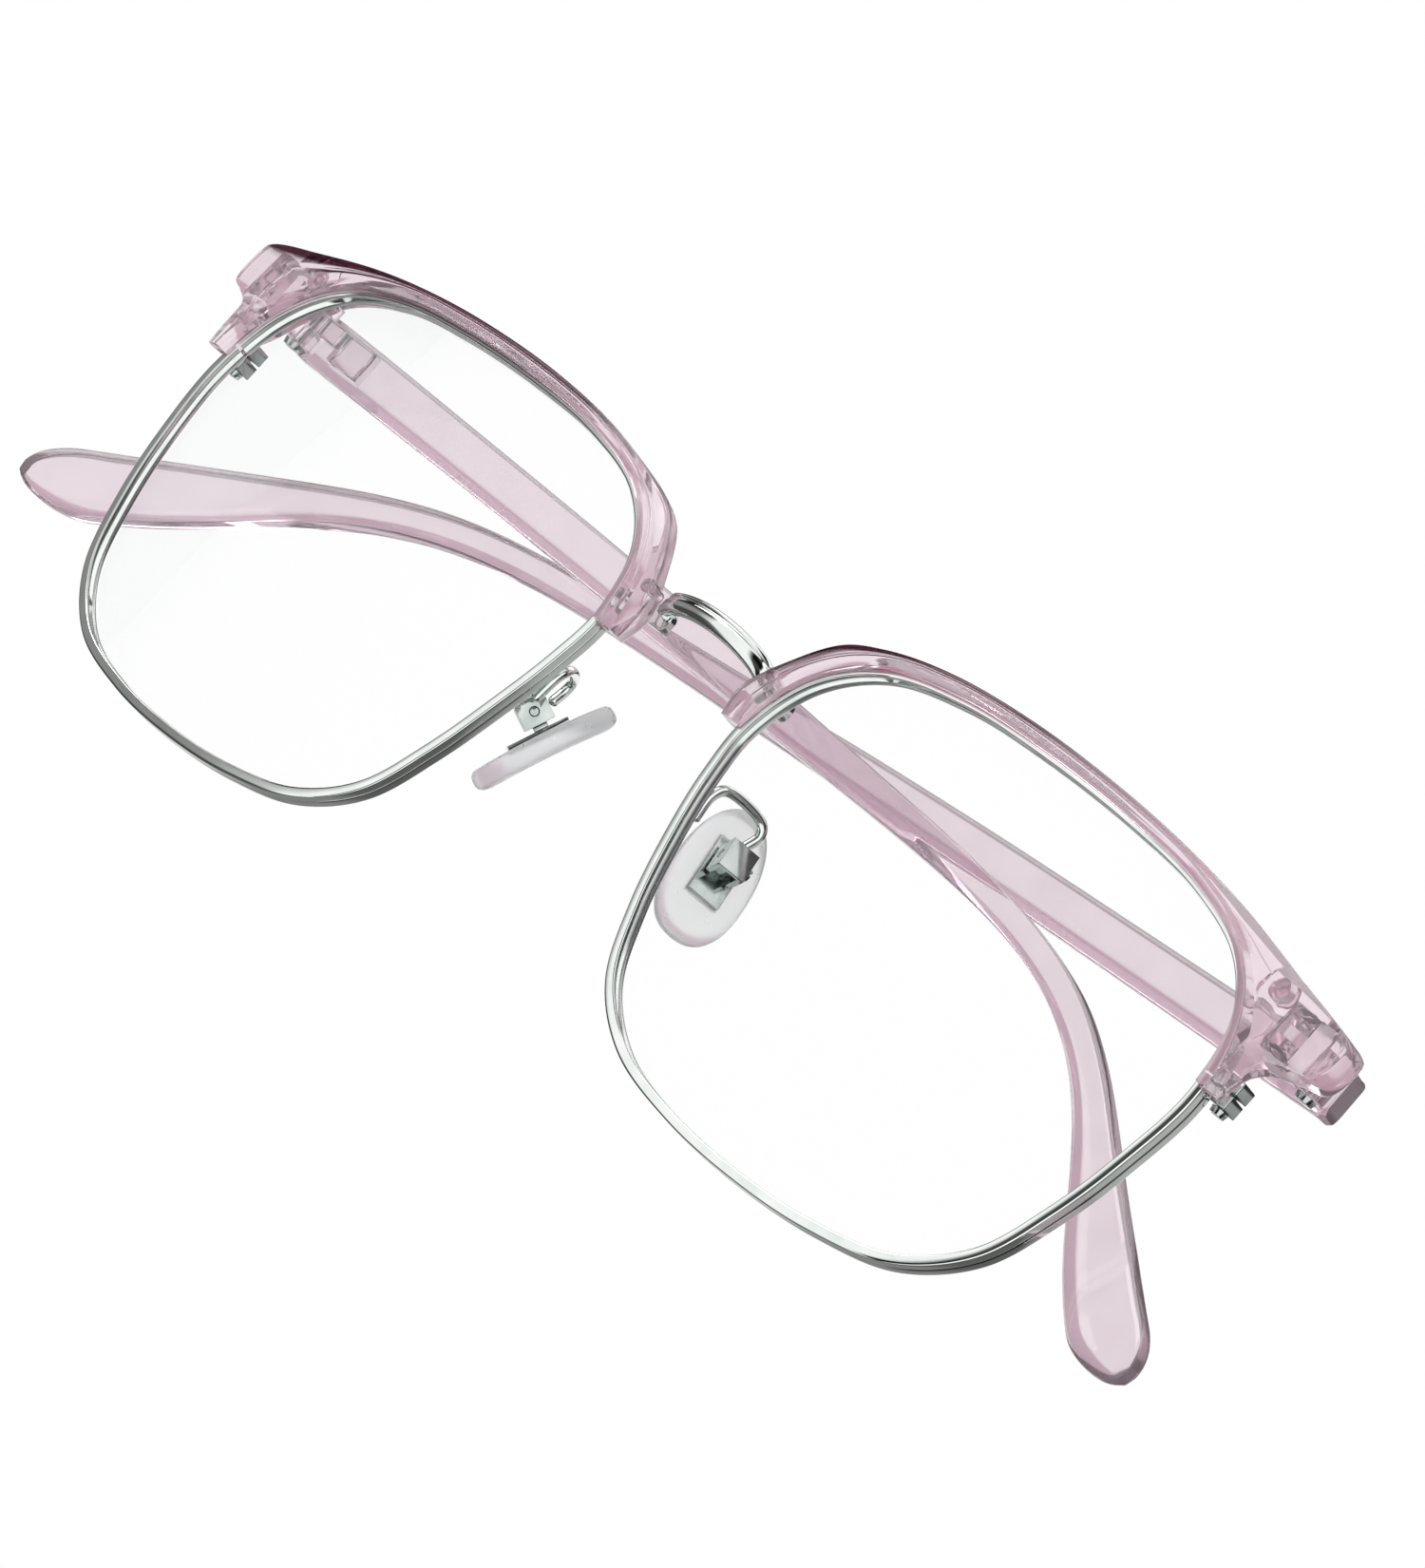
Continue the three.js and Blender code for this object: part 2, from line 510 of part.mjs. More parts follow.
// A wire that lies along the back of the rim, then reaches back and down to the pad box.
const ARM = [[9.8, 0.58, -0.3], [9.55, 0.6, 2.1], [9.7, 1.3, 3.2], [10.7, 3.4, 3.6], [11.6, 5.1, 3.3],
  [11.9, 5.5, 2.5]];
function padArm(side) {
  const end = new THREE.Vector3(0, PAD_BOX.y[1] + 0.15, PIVOT[1]);
  const points = ARM.map((p) => new THREE.Vector3(side * p[0], p[1], p[2]));
  points.push(padFrame(side).localToWorld(end));
  const section = new THREE.Shape();
  section.absarc(0, 0, 0.45, 0, 2 * Math.PI);
  return new THREE.ExtrudeGeometry(section, {
    steps: 22, curveSegments: 5, extrudePath: new THREE.CatmullRomCurve3(points),
  });
}

// ---- assembly ----------------------------------------------------------------------------------
for (const [side, label] of [[-1, 'right'], [1, 'left']]) {
  add(model, `rim_${label}`, 'metal', rim(side));
  add(model, `lens_${label}`, 'lens', lens(side));
  closingBlocks(side, label);
  browPieces(side, label);
  add(model, `hinge_front_leaf_${label}`, 'plastic', frontLeaf(side));
  hingeScrew(side, label);
  templePieces(side, label);
  add(model, `pad_arm_${label}`, 'metal', padArm(side));
  padPieces(side, label);
}
add(model, 'bridge', 'metal', bridge());

const root = new THREE.Group();
root.add(model);
root.updateMatrixWorld(true);
const bounds = new THREE.Box3().setFromObject(model, true);
model.position.set(
  -(bounds.min.x + bounds.max.x) / 2, -(bounds.min.y + bounds.max.y) / 2, -bounds.min.z);

export default root;
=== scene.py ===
# Browline spectacles of clear tinted plastic with wire rims, temples folded. For Blender 4.5.
# Shapes are worked out in millimetres in the glasses' own "front frame": its zero is on the centre
# line, level with the lens centres and at the middle of the lens edge. +X is the wearer's left, -Y
# is the way the lenses face and +Z is up. ORIGIN moves a point from there into the row frame.
import json
from math import atan2, cos, degrees, pi, radians, sin, sqrt

import bmesh
import bpy
from mathutils import Matrix, Vector
from mathutils.geometry import tessellate_polygon


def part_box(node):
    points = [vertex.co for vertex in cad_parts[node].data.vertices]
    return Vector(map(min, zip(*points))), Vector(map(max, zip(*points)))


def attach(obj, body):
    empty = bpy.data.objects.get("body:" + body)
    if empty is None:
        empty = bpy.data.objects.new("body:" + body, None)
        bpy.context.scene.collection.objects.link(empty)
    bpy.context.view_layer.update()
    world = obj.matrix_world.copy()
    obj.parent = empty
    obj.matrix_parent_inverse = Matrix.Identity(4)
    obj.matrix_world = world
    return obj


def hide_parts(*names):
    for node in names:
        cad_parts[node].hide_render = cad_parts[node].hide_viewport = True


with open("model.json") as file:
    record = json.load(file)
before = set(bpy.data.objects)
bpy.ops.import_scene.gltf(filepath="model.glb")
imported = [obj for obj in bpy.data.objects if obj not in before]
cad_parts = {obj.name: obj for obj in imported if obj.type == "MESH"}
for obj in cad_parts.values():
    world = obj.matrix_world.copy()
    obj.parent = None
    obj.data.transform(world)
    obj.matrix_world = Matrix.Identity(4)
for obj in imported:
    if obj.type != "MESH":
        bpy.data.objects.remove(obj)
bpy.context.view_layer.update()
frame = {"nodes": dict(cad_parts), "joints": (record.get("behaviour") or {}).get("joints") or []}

MM = 0.001
LEFT, RIGHT = 1, -1
LABEL = {LEFT: "left", RIGHT: "right"}

# ---- driving dimensions, in millimetres ----------------------------------------------------------
LENS_X = 35.5                   # lens centre from the centre line
WRAP = radians(6.4)             # each lens plane turns back by this much
BASE_RADIUS = 176               # radius of the lens curve
LENS_THICKNESS = 1.6
RIM_THICK, RIM_DEPTH, GROOVE = 0.85, 1.8, 0.3
RIM_BOTTOM = 20.284             # the rim's lowest point lies this far below the lens centre
FIT = 0.08                      # gap between pieces that are fixed to each other
LIP_FRONT, LIP_BACK = 1.15, 0.9
PIN_X, PIN_Y = 62.0, 11.9       # hinge screw axis
BLADE_Z = 14.5                  # height of the temple's middle at the hinge
TEMPLE_REACH = 139.5            # from the hinge to the tip
TEMPLE_INNER = 1.0              # from the hinge screw to the temple's inner face
FOLD = {RIGHT: radians(2.1), LEFT: radians(4.6)}  # how far off square the folded temples lie
# How each temple is bent: where it starts to curve in and how far, and how much later and less it
# drops than the plain curve.
BOW = {
    RIGHT: dict(start=44, depth=13.2, late=0, drop=1.03),
    LEFT: dict(start=64, depth=14.9, late=4.6, drop=0.95),
}

# Lens outline from the front: across (nasal side negative) and up.
OUTLINE = [
    (24.3, 6.5), (23.6, -0.5), (22.1, -7), (19.6, -13), (14.6, -17.3), (7.4, -19.25), (0, -19.85),
    (-8, -19.45), (-15.2, -17.75), (-20.2, -14.1), (-23, -8.6), (-25, -2.4), (-26.3, 3.2), (-26.7, 8),
    (-24.9, 13.7), (-20.4, 17.7), (-13, 19.65), (-5, 20.2), (5, 20.1), (12.8, 19.3), (19.2, 17.0),
    (22.9, 12.8),
]
SPLIT_ANGLE, SPLIT_HALF = 19.5, 0.35  # where the rim is split and half the split, in degrees
# Outer edge of the brow piece: across, up, and the angle of the outline place it stands on.
BROW_EDGE = [
    (-29.0, 7.4, 164.5), (-29.5, 10, 160), (-27.6, 14.0, 153), (-25.0, 17.4, 145), (-21.6, 19.0, 137),
    (-15, 20.65, 124), (-7, 21.45, 108), (1, 21.55, 88), (9, 21.15, 67), (17, 20.15, 50),
    (24.5, 18.5, 42), (30.2, 17.15, 38), (30.75, 16.7, 35.5), (30.5, 13.2, 31), (28.8, 12.5, 28.5),
    (27.0, 11.6, 25.5), (26.7, 9.5, 21.5), (26.4, 7.3, 17),
]

hinges = {j["child"]: Vector(j["pos_m"]) for j in frame["joints"]}
hinge_left, hinge_right = hinges["temple_left"], hinges["temple_right"]
ORIGIN = Vector((
    (hinge_left.x + hinge_right.x) / 2,
    hinge_left.y - PIN_Y * MM,
    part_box("rim_left")[0].z + RIM_BOTTOM * MM,
))


def place(x, y, z):
    """A front-frame point in millimetres, in the row frame in metres."""
    return Vector((x * MM, y * MM, z * MM)) + ORIGIN


# ---- small maths ---------------------------------------------------------------------------------
def lerp(a, b, t):
    return a + (b - a) * t


def clamp(x, low=0.0, high=1.0):
    return max(low, min(high, x))


def smooth(x, low, high):
    t = clamp((x - low) / (high - low))
    return t * t * (3 - 2 * t)


def along(table, s):
    """Value of a table of (distance, value) pairs at s."""
    if s <= table[0][0]:
        return table[0][1]
    for (s0, a), (s1, b) in zip(table, table[1:]):
        if s <= s1:
            return lerp(a, b, (s - s0) / (s1 - s0))
    return table[-1][1]


def spline(points, t, closed=False):
    """Point of a centripetal Catmull-Rom curve; t runs from 0 to 1 over the whole curve."""
    n = len(points)
    spans = n if closed else n - 1
    k = t * spans
    i = min(int(k), spans - 1)
    k -= i
    near = [j % n if closed else clamp(j, 0, n - 1) for j in range(i - 1, i + 3)]
    p0, p1, p2, p3 = (Vector(points[j]) for j in near)
    if not closed and i == 0:
        p0 = p1 * 2 - p2
    if not closed and i == spans - 1:
        p3 = p2 * 2 - p1
    d1, d2, d3 = ((b - a).length ** 0.5 for a, b in ((p0, p1), (p1, p2), (p2, p3)))
    d1, d3 = max(d1, 1e-4), max(d3, 1e-4)
    t1 = ((p1 - p0) / d1 - (p2 - p0) / (d1 + d2) + (p2 - p1) / d2) * d2
    t2 = ((p2 - p1) / d2 - (p3 - p1) / (d2 + d3) + (p3 - p2) / d3) * d2
    c2 = -3 * p1 + 3 * p2 - 2 * t1 - t2
    c3 = 2 * p1 - 2 * p2 + t1 + t2
    return p1 + t1 * k + c2 * k * k + c3 * k ** 3


# ---- lens plane ----------------------------------------------------------------------------------
def on_lens(side, u, v, back):
    """A point of a lens plane: across, up and back."""
    sag = (u * u + v * v) / (2 * BASE_RADIUS)
    return place(side * (LENS_X + u * cos(WRAP)), u * sin(WRAP) + sag + back, v)


OUTLINE_STEPS = 1440


def outline_samples():
    """(angle, u, v, normal u, normal v) all round the lens outline, in order of angle."""
    points = [(u, v, 0) for u, v in OUTLINE]
    ring = [spline(points, i / OUTLINE_STEPS, True) for i in range(OUTLINE_STEPS)]
    samples = []
    for i, p in enumerate(ring):
        t = ring[(i + 1) % OUTLINE_STEPS] - ring[i - 1]
        n = Vector((t.y, -t.x)).normalized()
        if n.dot(p.xy) < 0:
            n = -n
        samples.append((degrees(atan2(p.y, p.x)) % 360, p.x, p.y, n.x, n.y))
    return sorted(samples)


OUTLINE_SAMPLES = outline_samples()


def outline_at(angle):
    """(u, v, normal u, normal v) of the lens outline at an angle in degrees."""
    angle %= 360
    low, high = 0, OUTLINE_STEPS
    while low < high:
        middle = (low + high) // 2
        if OUTLINE_SAMPLES[middle][0] < angle:
            low = middle + 1
        else:
            high = middle
    a, b = OUTLINE_SAMPLES[low - 1], OUTLINE_SAMPLES[low % OUTLINE_STEPS]
    span = (b[0] - a[0]) % 360 or 1
    k = clamp(((angle - a[0]) % 360) / span)
    return [lerp(p, q, k) for p, q in zip(a[1:], b[1:])]


def off_outline(side, at, out, back):
    """A point outside the lens outline by out, with at from outline_at."""
    u, v, nu, nv = at
    return on_lens(side, u + nu * out, v + nv * out, back)


# ---- mesh helpers --------------------------------------------------------------------------------
def make(name, points, faces, material, sharp=40):
    """A mesh object, shaded smooth except over edges sharper than sharp degrees."""
    mesh = bpy.data.meshes.new(name)
    mesh.from_pydata(points, [], faces)
    bm = bmesh.new()
    bm.from_mesh(mesh)
    bmesh.ops.recalc_face_normals(bm, faces=bm.faces)
    bm.to_mesh(mesh)
    bm.free()
    mesh.materials.append(material)
    obj = bpy.data.objects.new(name, mesh)
    bpy.context.scene.collection.objects.link(obj)
    shade(obj, sharp)
    return obj


def shade(obj, sharp):
    obj.data.shade_smooth()
    obj.data.set_sharp_from_angle(angle=radians(sharp))


def loft_faces(rings, size):
    faces = []
    for a in range(0, (rings - 1) * size, size):
        b = a + size
        for j in range(size):
            k = (j + 1) % size
            faces.append((a + j, a + k, b + k, b + j))
    return faces


def caps(flat, rings):
    """Triangles over the first and last ring of a loft whose section is flat."""
    last = (rings - 1) * len(flat)
    triangles = tessellate_polygon([[Vector((x, y, 0)) for x, y in flat]])
    return [t for a, b, c in triangles for t in ((a, c, b), (last + a, last + b, last + c))]


def loft(name, rings, flat, material, sharp=40):
    """A skin over rings of points, closed at both ends; flat is a plane version of a ring."""
    points = [p for ring in rings for p in ring]
    faces = loft_faces(len(rings), len(flat)) + caps(flat, len(rings))
    return make(name, points, faces, material, sharp)


def arc(start, corner, end, steps):
    """Points from start to end along a curve that bends towards their corner."""
    shares = [k / steps for k in range(steps + 1)]
    return [start.lerp(corner, t).lerp(corner.lerp(end, t), t) for t in shares]


CORNER_SHARE = 0.45             # a rounded corner takes up to this share of each of its sides
CORNER_STEPS = 3


def round_corners(section, radius, steps=CORNER_STEPS, keep=()):
    """A closed section with each corner turned into a small arc; corners in keep stay sharp."""
    out = []
    n = len(section)
    for i, p in enumerate(section):
        p = Vector(p)
        a, b = Vector(section[i - 1]) - p, Vector(section[(i + 1) % n]) - p
        cut = min(radius, a.length * CORNER_SHARE, b.length * CORNER_SHARE)
        if i in keep or cut < 1e-3:
            out.append(p)
            continue
        out += arc(p + a.normalized() * cut, p, p + b.normalized() * cut, steps)
    return out


STEEP = 0.2                     # a path nearer to its up direction than this takes its side from +Y
END_LOSS = 0.9                  # a rounded end loses this much of its squared width


def tube(name, points, section, material, steps, up=Vector((0, 0, 1)), ends=0.0):
    """A section swept along a smooth path of front-frame points; ends rounds both ends off."""
    path = [spline(points, i / steps) for i in range(steps + 1)]
    rings = []
    for i, p in enumerate(path):
        ahead = (path[min(i + 1, steps)] - path[max(i - 1, 0)]).normalized()
        side = ahead.cross(up)
        if side.length < STEEP:
            side = ahead.cross(Vector((0, 1, 0)))
        side.normalize()
        top = side.cross(ahead)
        near = min((p - path[0]).length, (p - path[-1]).length)
        k = sqrt(1 - (1 - clamp(near / ends)) ** 2 * END_LOSS) if ends else 1
        rings.append([place(*(p + side * x * k + top * y * k)) for x, y in section])
    return loft(name, rings, section, material, 50)


def circle(radius, sides):
    turns = [2 * pi * i / sides for i in range(sides)]
    return [(radius * cos(turn), radius * sin(turn)) for turn in turns]


def modify(obj, kind, **settings):
    modifier = obj.modifiers.new(kind.title(), kind)
    for key, value in settings.items():
        setattr(modifier, key, value)


def apply_modifiers(obj):
    bpy.context.view_layer.update()
    evaluated = obj.evaluated_get(bpy.context.evaluated_depsgraph_get())
    mesh = bpy.data.meshes.new_from_object(evaluated)
    obj.modifiers.clear()
    old = obj.data
    obj.data = mesh
    bpy.data.meshes.remove(old)


def combine(obj, operation, tools):
    """Joins closed tool objects to obj or cuts them out of it, then removes them."""
    for tool in tools:
        modify(obj, "BOOLEAN", object=tool, operation=operation, solver="EXACT")
    apply_modifiers(obj)
    for tool in tools:
        bpy.data.objects.remove(tool)


def roll_edges(obj, width, angle, segments=3):
    """Rounds off edges sharper than angle in degrees, by a width in millimetres."""
    modify(obj, "BEVEL", width=width * MM, segments=segments, limit_method="ANGLE",
           angle_limit=radians(angle))
    apply_modifiers(obj)
    shade(obj, 40)


BOX_FACES = [(0, 1, 3, 2), (4, 6, 7, 5), (0, 4, 5, 1), (2, 3, 7, 6), (0, 2, 6, 4), (1, 5, 7, 3)]


def box_tool(put, x, y, z):
    """A box between limits in the space that put places points from."""
    return make("tool", [put(a, b, c) for a in x for b in y for c in z], BOX_FACES, CLEAR)


def rod_y(x, z, y, radius, sides=32, name="tool"):
    """A round rod along Y between front-frame limits."""
    ring = circle(radius, sides)
    rings = [[place(x + a, end, z + b) for a, b in ring] for end in y]
    return loft(name, rings, ring, CLEAR)


POST_SIDES = 48


def post(x, y, z, radius):
    """A round upright tool between two heights."""
    ring = circle(radius, POST_SIDES)
    return loft("tool", [[place(x + a, y + b, end) for a, b in ring] for end in z], ring, CLEAR)


def mirrored(side, limits):
    """Limits across the glasses, given for the left side, on either side."""
    return limits if side > 0 else (-limits[1], -limits[0])


def finish(obj, body, slot, *nodes):
    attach(obj, body)
    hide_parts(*nodes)


# ---- materials -----------------------------------------------------------------------------------
def new_material(name):
    material = bpy.data.materials.new(name)
    material.use_nodes = True
    nodes, links = material.node_tree.nodes, material.node_tree.links
    return material, nodes, links, nodes["Principled BSDF"], nodes["Material Output"]


def noise(nodes, links, scale, detail):
    """Noise in the piece's own space, which stays put when the piece moves."""
    coordinates, texture = nodes.new("ShaderNodeTexCoord"), nodes.new("ShaderNodeTexNoise")
    texture.inputs["Scale"].default_value = scale
    texture.inputs["Detail"].default_value = detail
    links.new(coordinates.outputs["Object"], texture.inputs["Vector"])
    return texture.outputs["Fac"]


def spread(nodes, links, value, low, high, start=0.0, end=1.0):
    """value, which runs from start to end, spread between low and high."""
    node = nodes.new("ShaderNodeMapRange")
    settings = {"From Min": start, "From Max": end, "To Min": low, "To Max": high}
    for name, setting in settings.items():
        node.inputs[name].default_value = setting
    links.new(value, node.inputs["Value"])
    return node.outputs["Result"]


def ramp(nodes, links, value, stops):
    """Colours by value, through (position, colour) stops."""
    node = nodes.new("ShaderNodeValToRGB")
    elements = node.color_ramp.elements
    while len(elements) < len(stops):
        elements.new(0.5)
    for element, (position, color) in zip(elements, stops):
        element.position = position
        element.color = (*color, 1)
    links.new(value, node.inputs["Fac"])
    return node.outputs["Color"]


def tint(nodes, links, value, low, high, start=0.0, end=1.0):
    return ramp(nodes, links, value, [(start, low), (end, high)])


def mix_colors(nodes, links, factor, a, b, blend="MIX"):
    """a and b mixed by factor; each is a socket or a plain value."""
    node = nodes.new("ShaderNodeMix")
    node.data_type, node.blend_type = "RGBA", blend
    for name, value in (("Factor", factor), ("A", a), ("B", b)):
        if isinstance(value, bpy.types.NodeSocket):
            links.new(value, node.inputs[name])
        else:
            node.inputs[name].default_value = value
    return node.outputs["Result"]


def bump(nodes, links, height, shader, strength, distance):
    node = nodes.new("ShaderNodeBump")
    node.inputs["Strength"].default_value = strength
    node.inputs["Distance"].default_value = distance
    links.new(height, node.inputs["Height"])
    links.new(node.outputs["Normal"], shader.inputs["Normal"])


# A painted dark reflection on the brow's front bevel: the direction its faces turn to, and the mask's
# limits.
PAINTED_REFLECTION_TOWARDS = (-0.45, -0.55, 0.7)  # up, forward and towards -X
PAINTED_REFLECTION_LIMITS = (0.77, 0.87)     # how nearly a surface has to face there, as a cosine


def painted_reflection_mask(nodes, links):
    """Mask of the painted dark reflection: 1 where a surface's outward side faces along the direction
    set above, 0 elsewhere.
    """
    geometry, dot = nodes.new("ShaderNodeNewGeometry"), nodes.new("ShaderNodeVectorMath")
    dot.operation = "DOT_PRODUCT"
    links.new(geometry.outputs["Normal"], dot.inputs[0])
    dot.inputs[1].default_value = PAINTED_REFLECTION_TOWARDS
    outward = nodes.new("ShaderNodeMath")
    outward.operation = "MULTIPLY"
    links.new(dot.outputs["Value"], outward.inputs[0])
    links.new(spread(nodes, links, geometry.outputs["Backfacing"], 1, -1), outward.inputs[1])
    return spread(nodes, links, outward.outputs["Value"], 0, 1, *PAINTED_REFLECTION_LIMITS)


PLASTIC_IOR, LENS_IOR, LENS_EDGE_IOR, SILICONE_IOR = 1.42, 1.56, 1.3, 1.33


def clear_plastic(name, base, absorption, wave, painted_reflection=None, clarity=0.87):
    """Moulded clear plastic, dyed at its skin and a little through its thickness, with faint flow
    marks. absorption is in parts per metre of red, green and blue; the colour after wave is a
    painted dark reflection along its front bevel."""
    material, nodes, links, shader, output = new_material(name)
    light = [lerp(c, 1, 0.2) for c in base]
    color = tint(nodes, links, noise(nodes, links, 260, 3), base, light, 0.3, 0.7)
    # Painted dark reflection: a dark maroon colour mixed in where the surface faces up and forward.
    if painted_reflection:
        color = mix_colors(nodes, links, painted_reflection_mask(nodes, links), color, (*painted_reflection, 1))
    links.new(color, shader.inputs["Base Color"])
    rough = spread(nodes, links, noise(nodes, links, 700, 2), 0.0, 0.05)
    links.new(rough, shader.inputs["Roughness"])
    shader.inputs["IOR"].default_value = PLASTIC_IOR
    shader.inputs["Transmission Weight"].default_value = clarity
    bump(nodes, links, noise(nodes, links, 130, 1), shader, wave, 0.0004)
    absorb(nodes, links, output, absorption)
    return material


def absorb(nodes, links, output, absorption):
    """Absorption through the thickness, in parts per metre of red, green and blue."""
    volume = nodes.new("ShaderNodeVolumeAbsorption")
    density = max(absorption) * 1.1  # a little above the most, so that no share falls to 0
    volume.inputs["Color"].default_value = (*(1 - a / density for a in absorption), 1)
    volume.inputs["Density"].default_value = density
    links.new(volume.outputs["Volume"], output.inputs["Volume"])


def polished_metal(name, dark, light, rough):
    """Plated wire: a cool silver with soft brushing marks and faint wear."""
    material, nodes, links, shader, _ = new_material(name)
    shader.inputs["Metallic"].default_value = 1.0
    color = tint(nodes, links, noise(nodes, links, 420, 3), dark, light, 0.3, 0.7)
    links.new(color, shader.inputs["Base Color"])
    links.new(spread(nodes, links, noise(nodes, links, 1500, 2), *rough), shader.inputs["Roughness"])
    bump(nodes, links, noise(nodes, links, 900, 1), shader, 0.02, 0.00005)
    return material


def lens_material():
    """A coated lens, nearly invisible face on and mirror-like at a glance."""
    material, nodes, links, shader, _ = new_material("coated_lens")
    color = tint(nodes, links, noise(nodes, links, 30, 1), (0.86, 0.92, 0.97), (0.93, 0.96, 0.98))
    links.new(color, shader.inputs["Base Color"])
    shader.inputs["Roughness"].default_value = 0.02
    shader.inputs["IOR"].default_value = LENS_IOR
    edge = nodes.new("ShaderNodeFresnel")
    edge.inputs["IOR"].default_value = LENS_EDGE_IOR
    links.new(spread(nodes, links, edge.outputs["Fac"], 0.004, 0.12), shader.inputs["Alpha"])
    return material


def silicone_material():
    """Soft clear silicone with a slightly misty skin."""
    material, nodes, links, shader, output = new_material("clear_silicone")
    color = tint(nodes, links, noise(nodes, links, 300, 3), (0.97, 0.98, 0.98), (1, 1, 1), 0.3, 0.7)
    links.new(color, shader.inputs["Base Color"])
    rough = spread(nodes, links, noise(nodes, links, 900, 3), 0.22, 0.38)
    links.new(rough, shader.inputs["Roughness"])
    shader.inputs["IOR"].default_value = SILICONE_IOR
    shader.inputs["Transmission Weight"].default_value = 0.75
    bump(nodes, links, noise(nodes, links, 500, 2), shader, 0.1, 0.0002)
    absorb(nodes, links, output, (7, 5, 4))
    return material


def floor_material():
    material, nodes, links, shader, _ = new_material("pale_floor")
    color = tint(nodes, links, noise(nodes, links, 3, 2), (0.8, 0.8, 0.8), (0.84, 0.84, 0.84))
    links.new(color, shader.inputs["Base Color"])
    shader.inputs["Roughness"].default_value = 0.9
    return material


# The brow plastic carries a painted dark reflection along its front bevel.
CLEAR = clear_plastic(
    "tinted_clear_plastic", (0.94, 0.82, 0.87), (6, 15, 11), 0.02, painted_reflection=(0.03, 0.004, 0.01))
TEMPLE_CLEAR = clear_plastic("temple_clear_plastic", (0.84, 0.74, 0.79), (8, 16, 12), 0.02)
HINGE_CLEAR = clear_plastic(
    "hinge_clear_plastic", (1, 0.95, 0.975), (4, 8, 6), 0.03, clarity=0.96)
SILVER = polished_metal("silver_wire", (0.72, 0.77, 0.74), (0.84, 0.87, 0.84), (0.03, 0.09))
DARK_METAL = polished_metal("shaded_metal", (0.4, 0.45, 0.43), (0.6, 0.64, 0.62), (0.06, 0.16))
LENS = lens_material()
SILICONE = silicone_material()


# ---- rims and lenses -----------------------------------------------------------------------------
RIM_STEPS = 300
GROOVE_HALF = 0.42              # half the width of the groove's mouth
LINE_HALF, LINE_DEPTH = 0.12, 0.08  # the line along the wire's outside


def rim(side):
    """Rolled wire with a V groove for the lens, rounded edges and a line along its outside."""
    t, d = RIM_THICK / 2, RIM_DEPTH / 2
    section = [
        (-t, -d), (-t, -GROOVE_HALF), (-t + GROOVE, 0), (-t, GROOVE_HALF), (-t, d),
        (t, d), (t, LINE_HALF), (t - LINE_DEPTH, 0), (t, -LINE_HALF), (t, -d),
    ]
    section = round_corners(section, 0.2, 4, keep=(2, 7))
    rings = []
    for i in range(RIM_STEPS + 1):
        angle = SPLIT_ANGLE + SPLIT_HALF + (360 - 2 * SPLIT_HALF) * i / RIM_STEPS
        at = outline_at(angle)
        rings.append([off_outline(side, at, a, b) for a, b in section])
    obj = loft(f"wire_rim_{LABEL[side]}", rings, section, SILVER, 50)
    finish(obj, "front", "wire", f"rim_{LABEL[side]}")


LENS_SECTORS = 192
LENS_SCALES = [0.12, 0.25, 0.4, 0.55, 0.7, 0.85]  # rings of a lens face, as shares of the outline
LENS_V_HALF = 0.4               # half the width of the V edge
LENS_BEVEL = (0.08, 0.1)        # inwards and backwards


def lens(side):
    """A curved lens with a V edge that stands in the rim's groove."""
    half = LENS_THICKNESS / 2
    edge = -RIM_THICK / 2 - FIT
    inner, shoulder = edge - LENS_BEVEL[0], half - LENS_BEVEL[1]
    # each row is a share of the outline, an offset from it and a place from front to back
    rows = [(s, 0, -half) for s in LENS_SCALES]
    rows += [(1, inner, -half), (1, edge, -shoulder), (1, edge, -LENS_V_HALF), (1, edge + GROOVE, 0),
             (1, edge, LENS_V_HALF), (1, edge, shoulder), (1, inner, half)]
    rows += [(s, 0, half) for s in reversed(LENS_SCALES)]
    points = [on_lens(side, 0, 0, -half), on_lens(side, 0, 0, half)]
    for i in range(LENS_SECTORS):
        u, v, nu, nv = outline_at(360 * i / LENS_SECTORS)
        points += [on_lens(side, u * s + nu * out, v * s + nv * out, back) for s, out, back in rows]
    n = len(rows)
    faces = []
    for i in range(LENS_SECTORS):
        a, b = 2 + i * n, 2 + ((i + 1) % LENS_SECTORS) * n
        faces += [(0, b, a), (1, a + n - 1, b + n - 1)]
        faces += [(a + j, b + j, b + j + 1, a + j + 1) for j in range(n - 1)]
    obj = make(f"clear_lens_{LABEL[side]}", points, faces, LENS, 30)
    finish(obj, "front", "lens_glass", f"lens_{LABEL[side]}")


# ---- brow pieces ---------------------------------------------------------------------------------
BROW_RINGS = 260
NASAL_TAPER = (15, 24)          # the plastic thins over this stretch towards the nasal end
TAIL_TAPER = (-12.6, -9.2)      # and over this drop down its tail
TAIL_FROM = 20                  # the tail is further out than this
SWEEP_FROM, SWEEP = 26, 0.02    # the end piece curves back from here on, by SWEEP times the square
CHANNEL = (2, 3, 4, 5)          # corners of brow_section that fit round the rim and stay sharp
BROW_ROUND = 0.28
BOSS = dict(radius=1.9, y=(6.0, 6.75))  # round swelling behind the temporal stud
STUDS = {
    "nasal": dict(x=7.4, z=12.0, y=(-1.2, 0.6), radius=0.55),
    "temporal": dict(x=58.1, z=16.8, y=(5.9, 7.6), radius=0.8),
}
STUD_HOLLOW = 0.55              # share of a stud's radius, from half a millimetre behind its face
LEAF_X, LEAF_Z = (60.4, 63.1), (12.8, 16.9)
LEAF_PLATE = (5.3, 9.7)         # front and back of the hinge plate let into the end piece
BLOCK_SIZE = dict(width=1.7, depth=2.1, out=0.95, top=9.9)  # room for the closing blocks


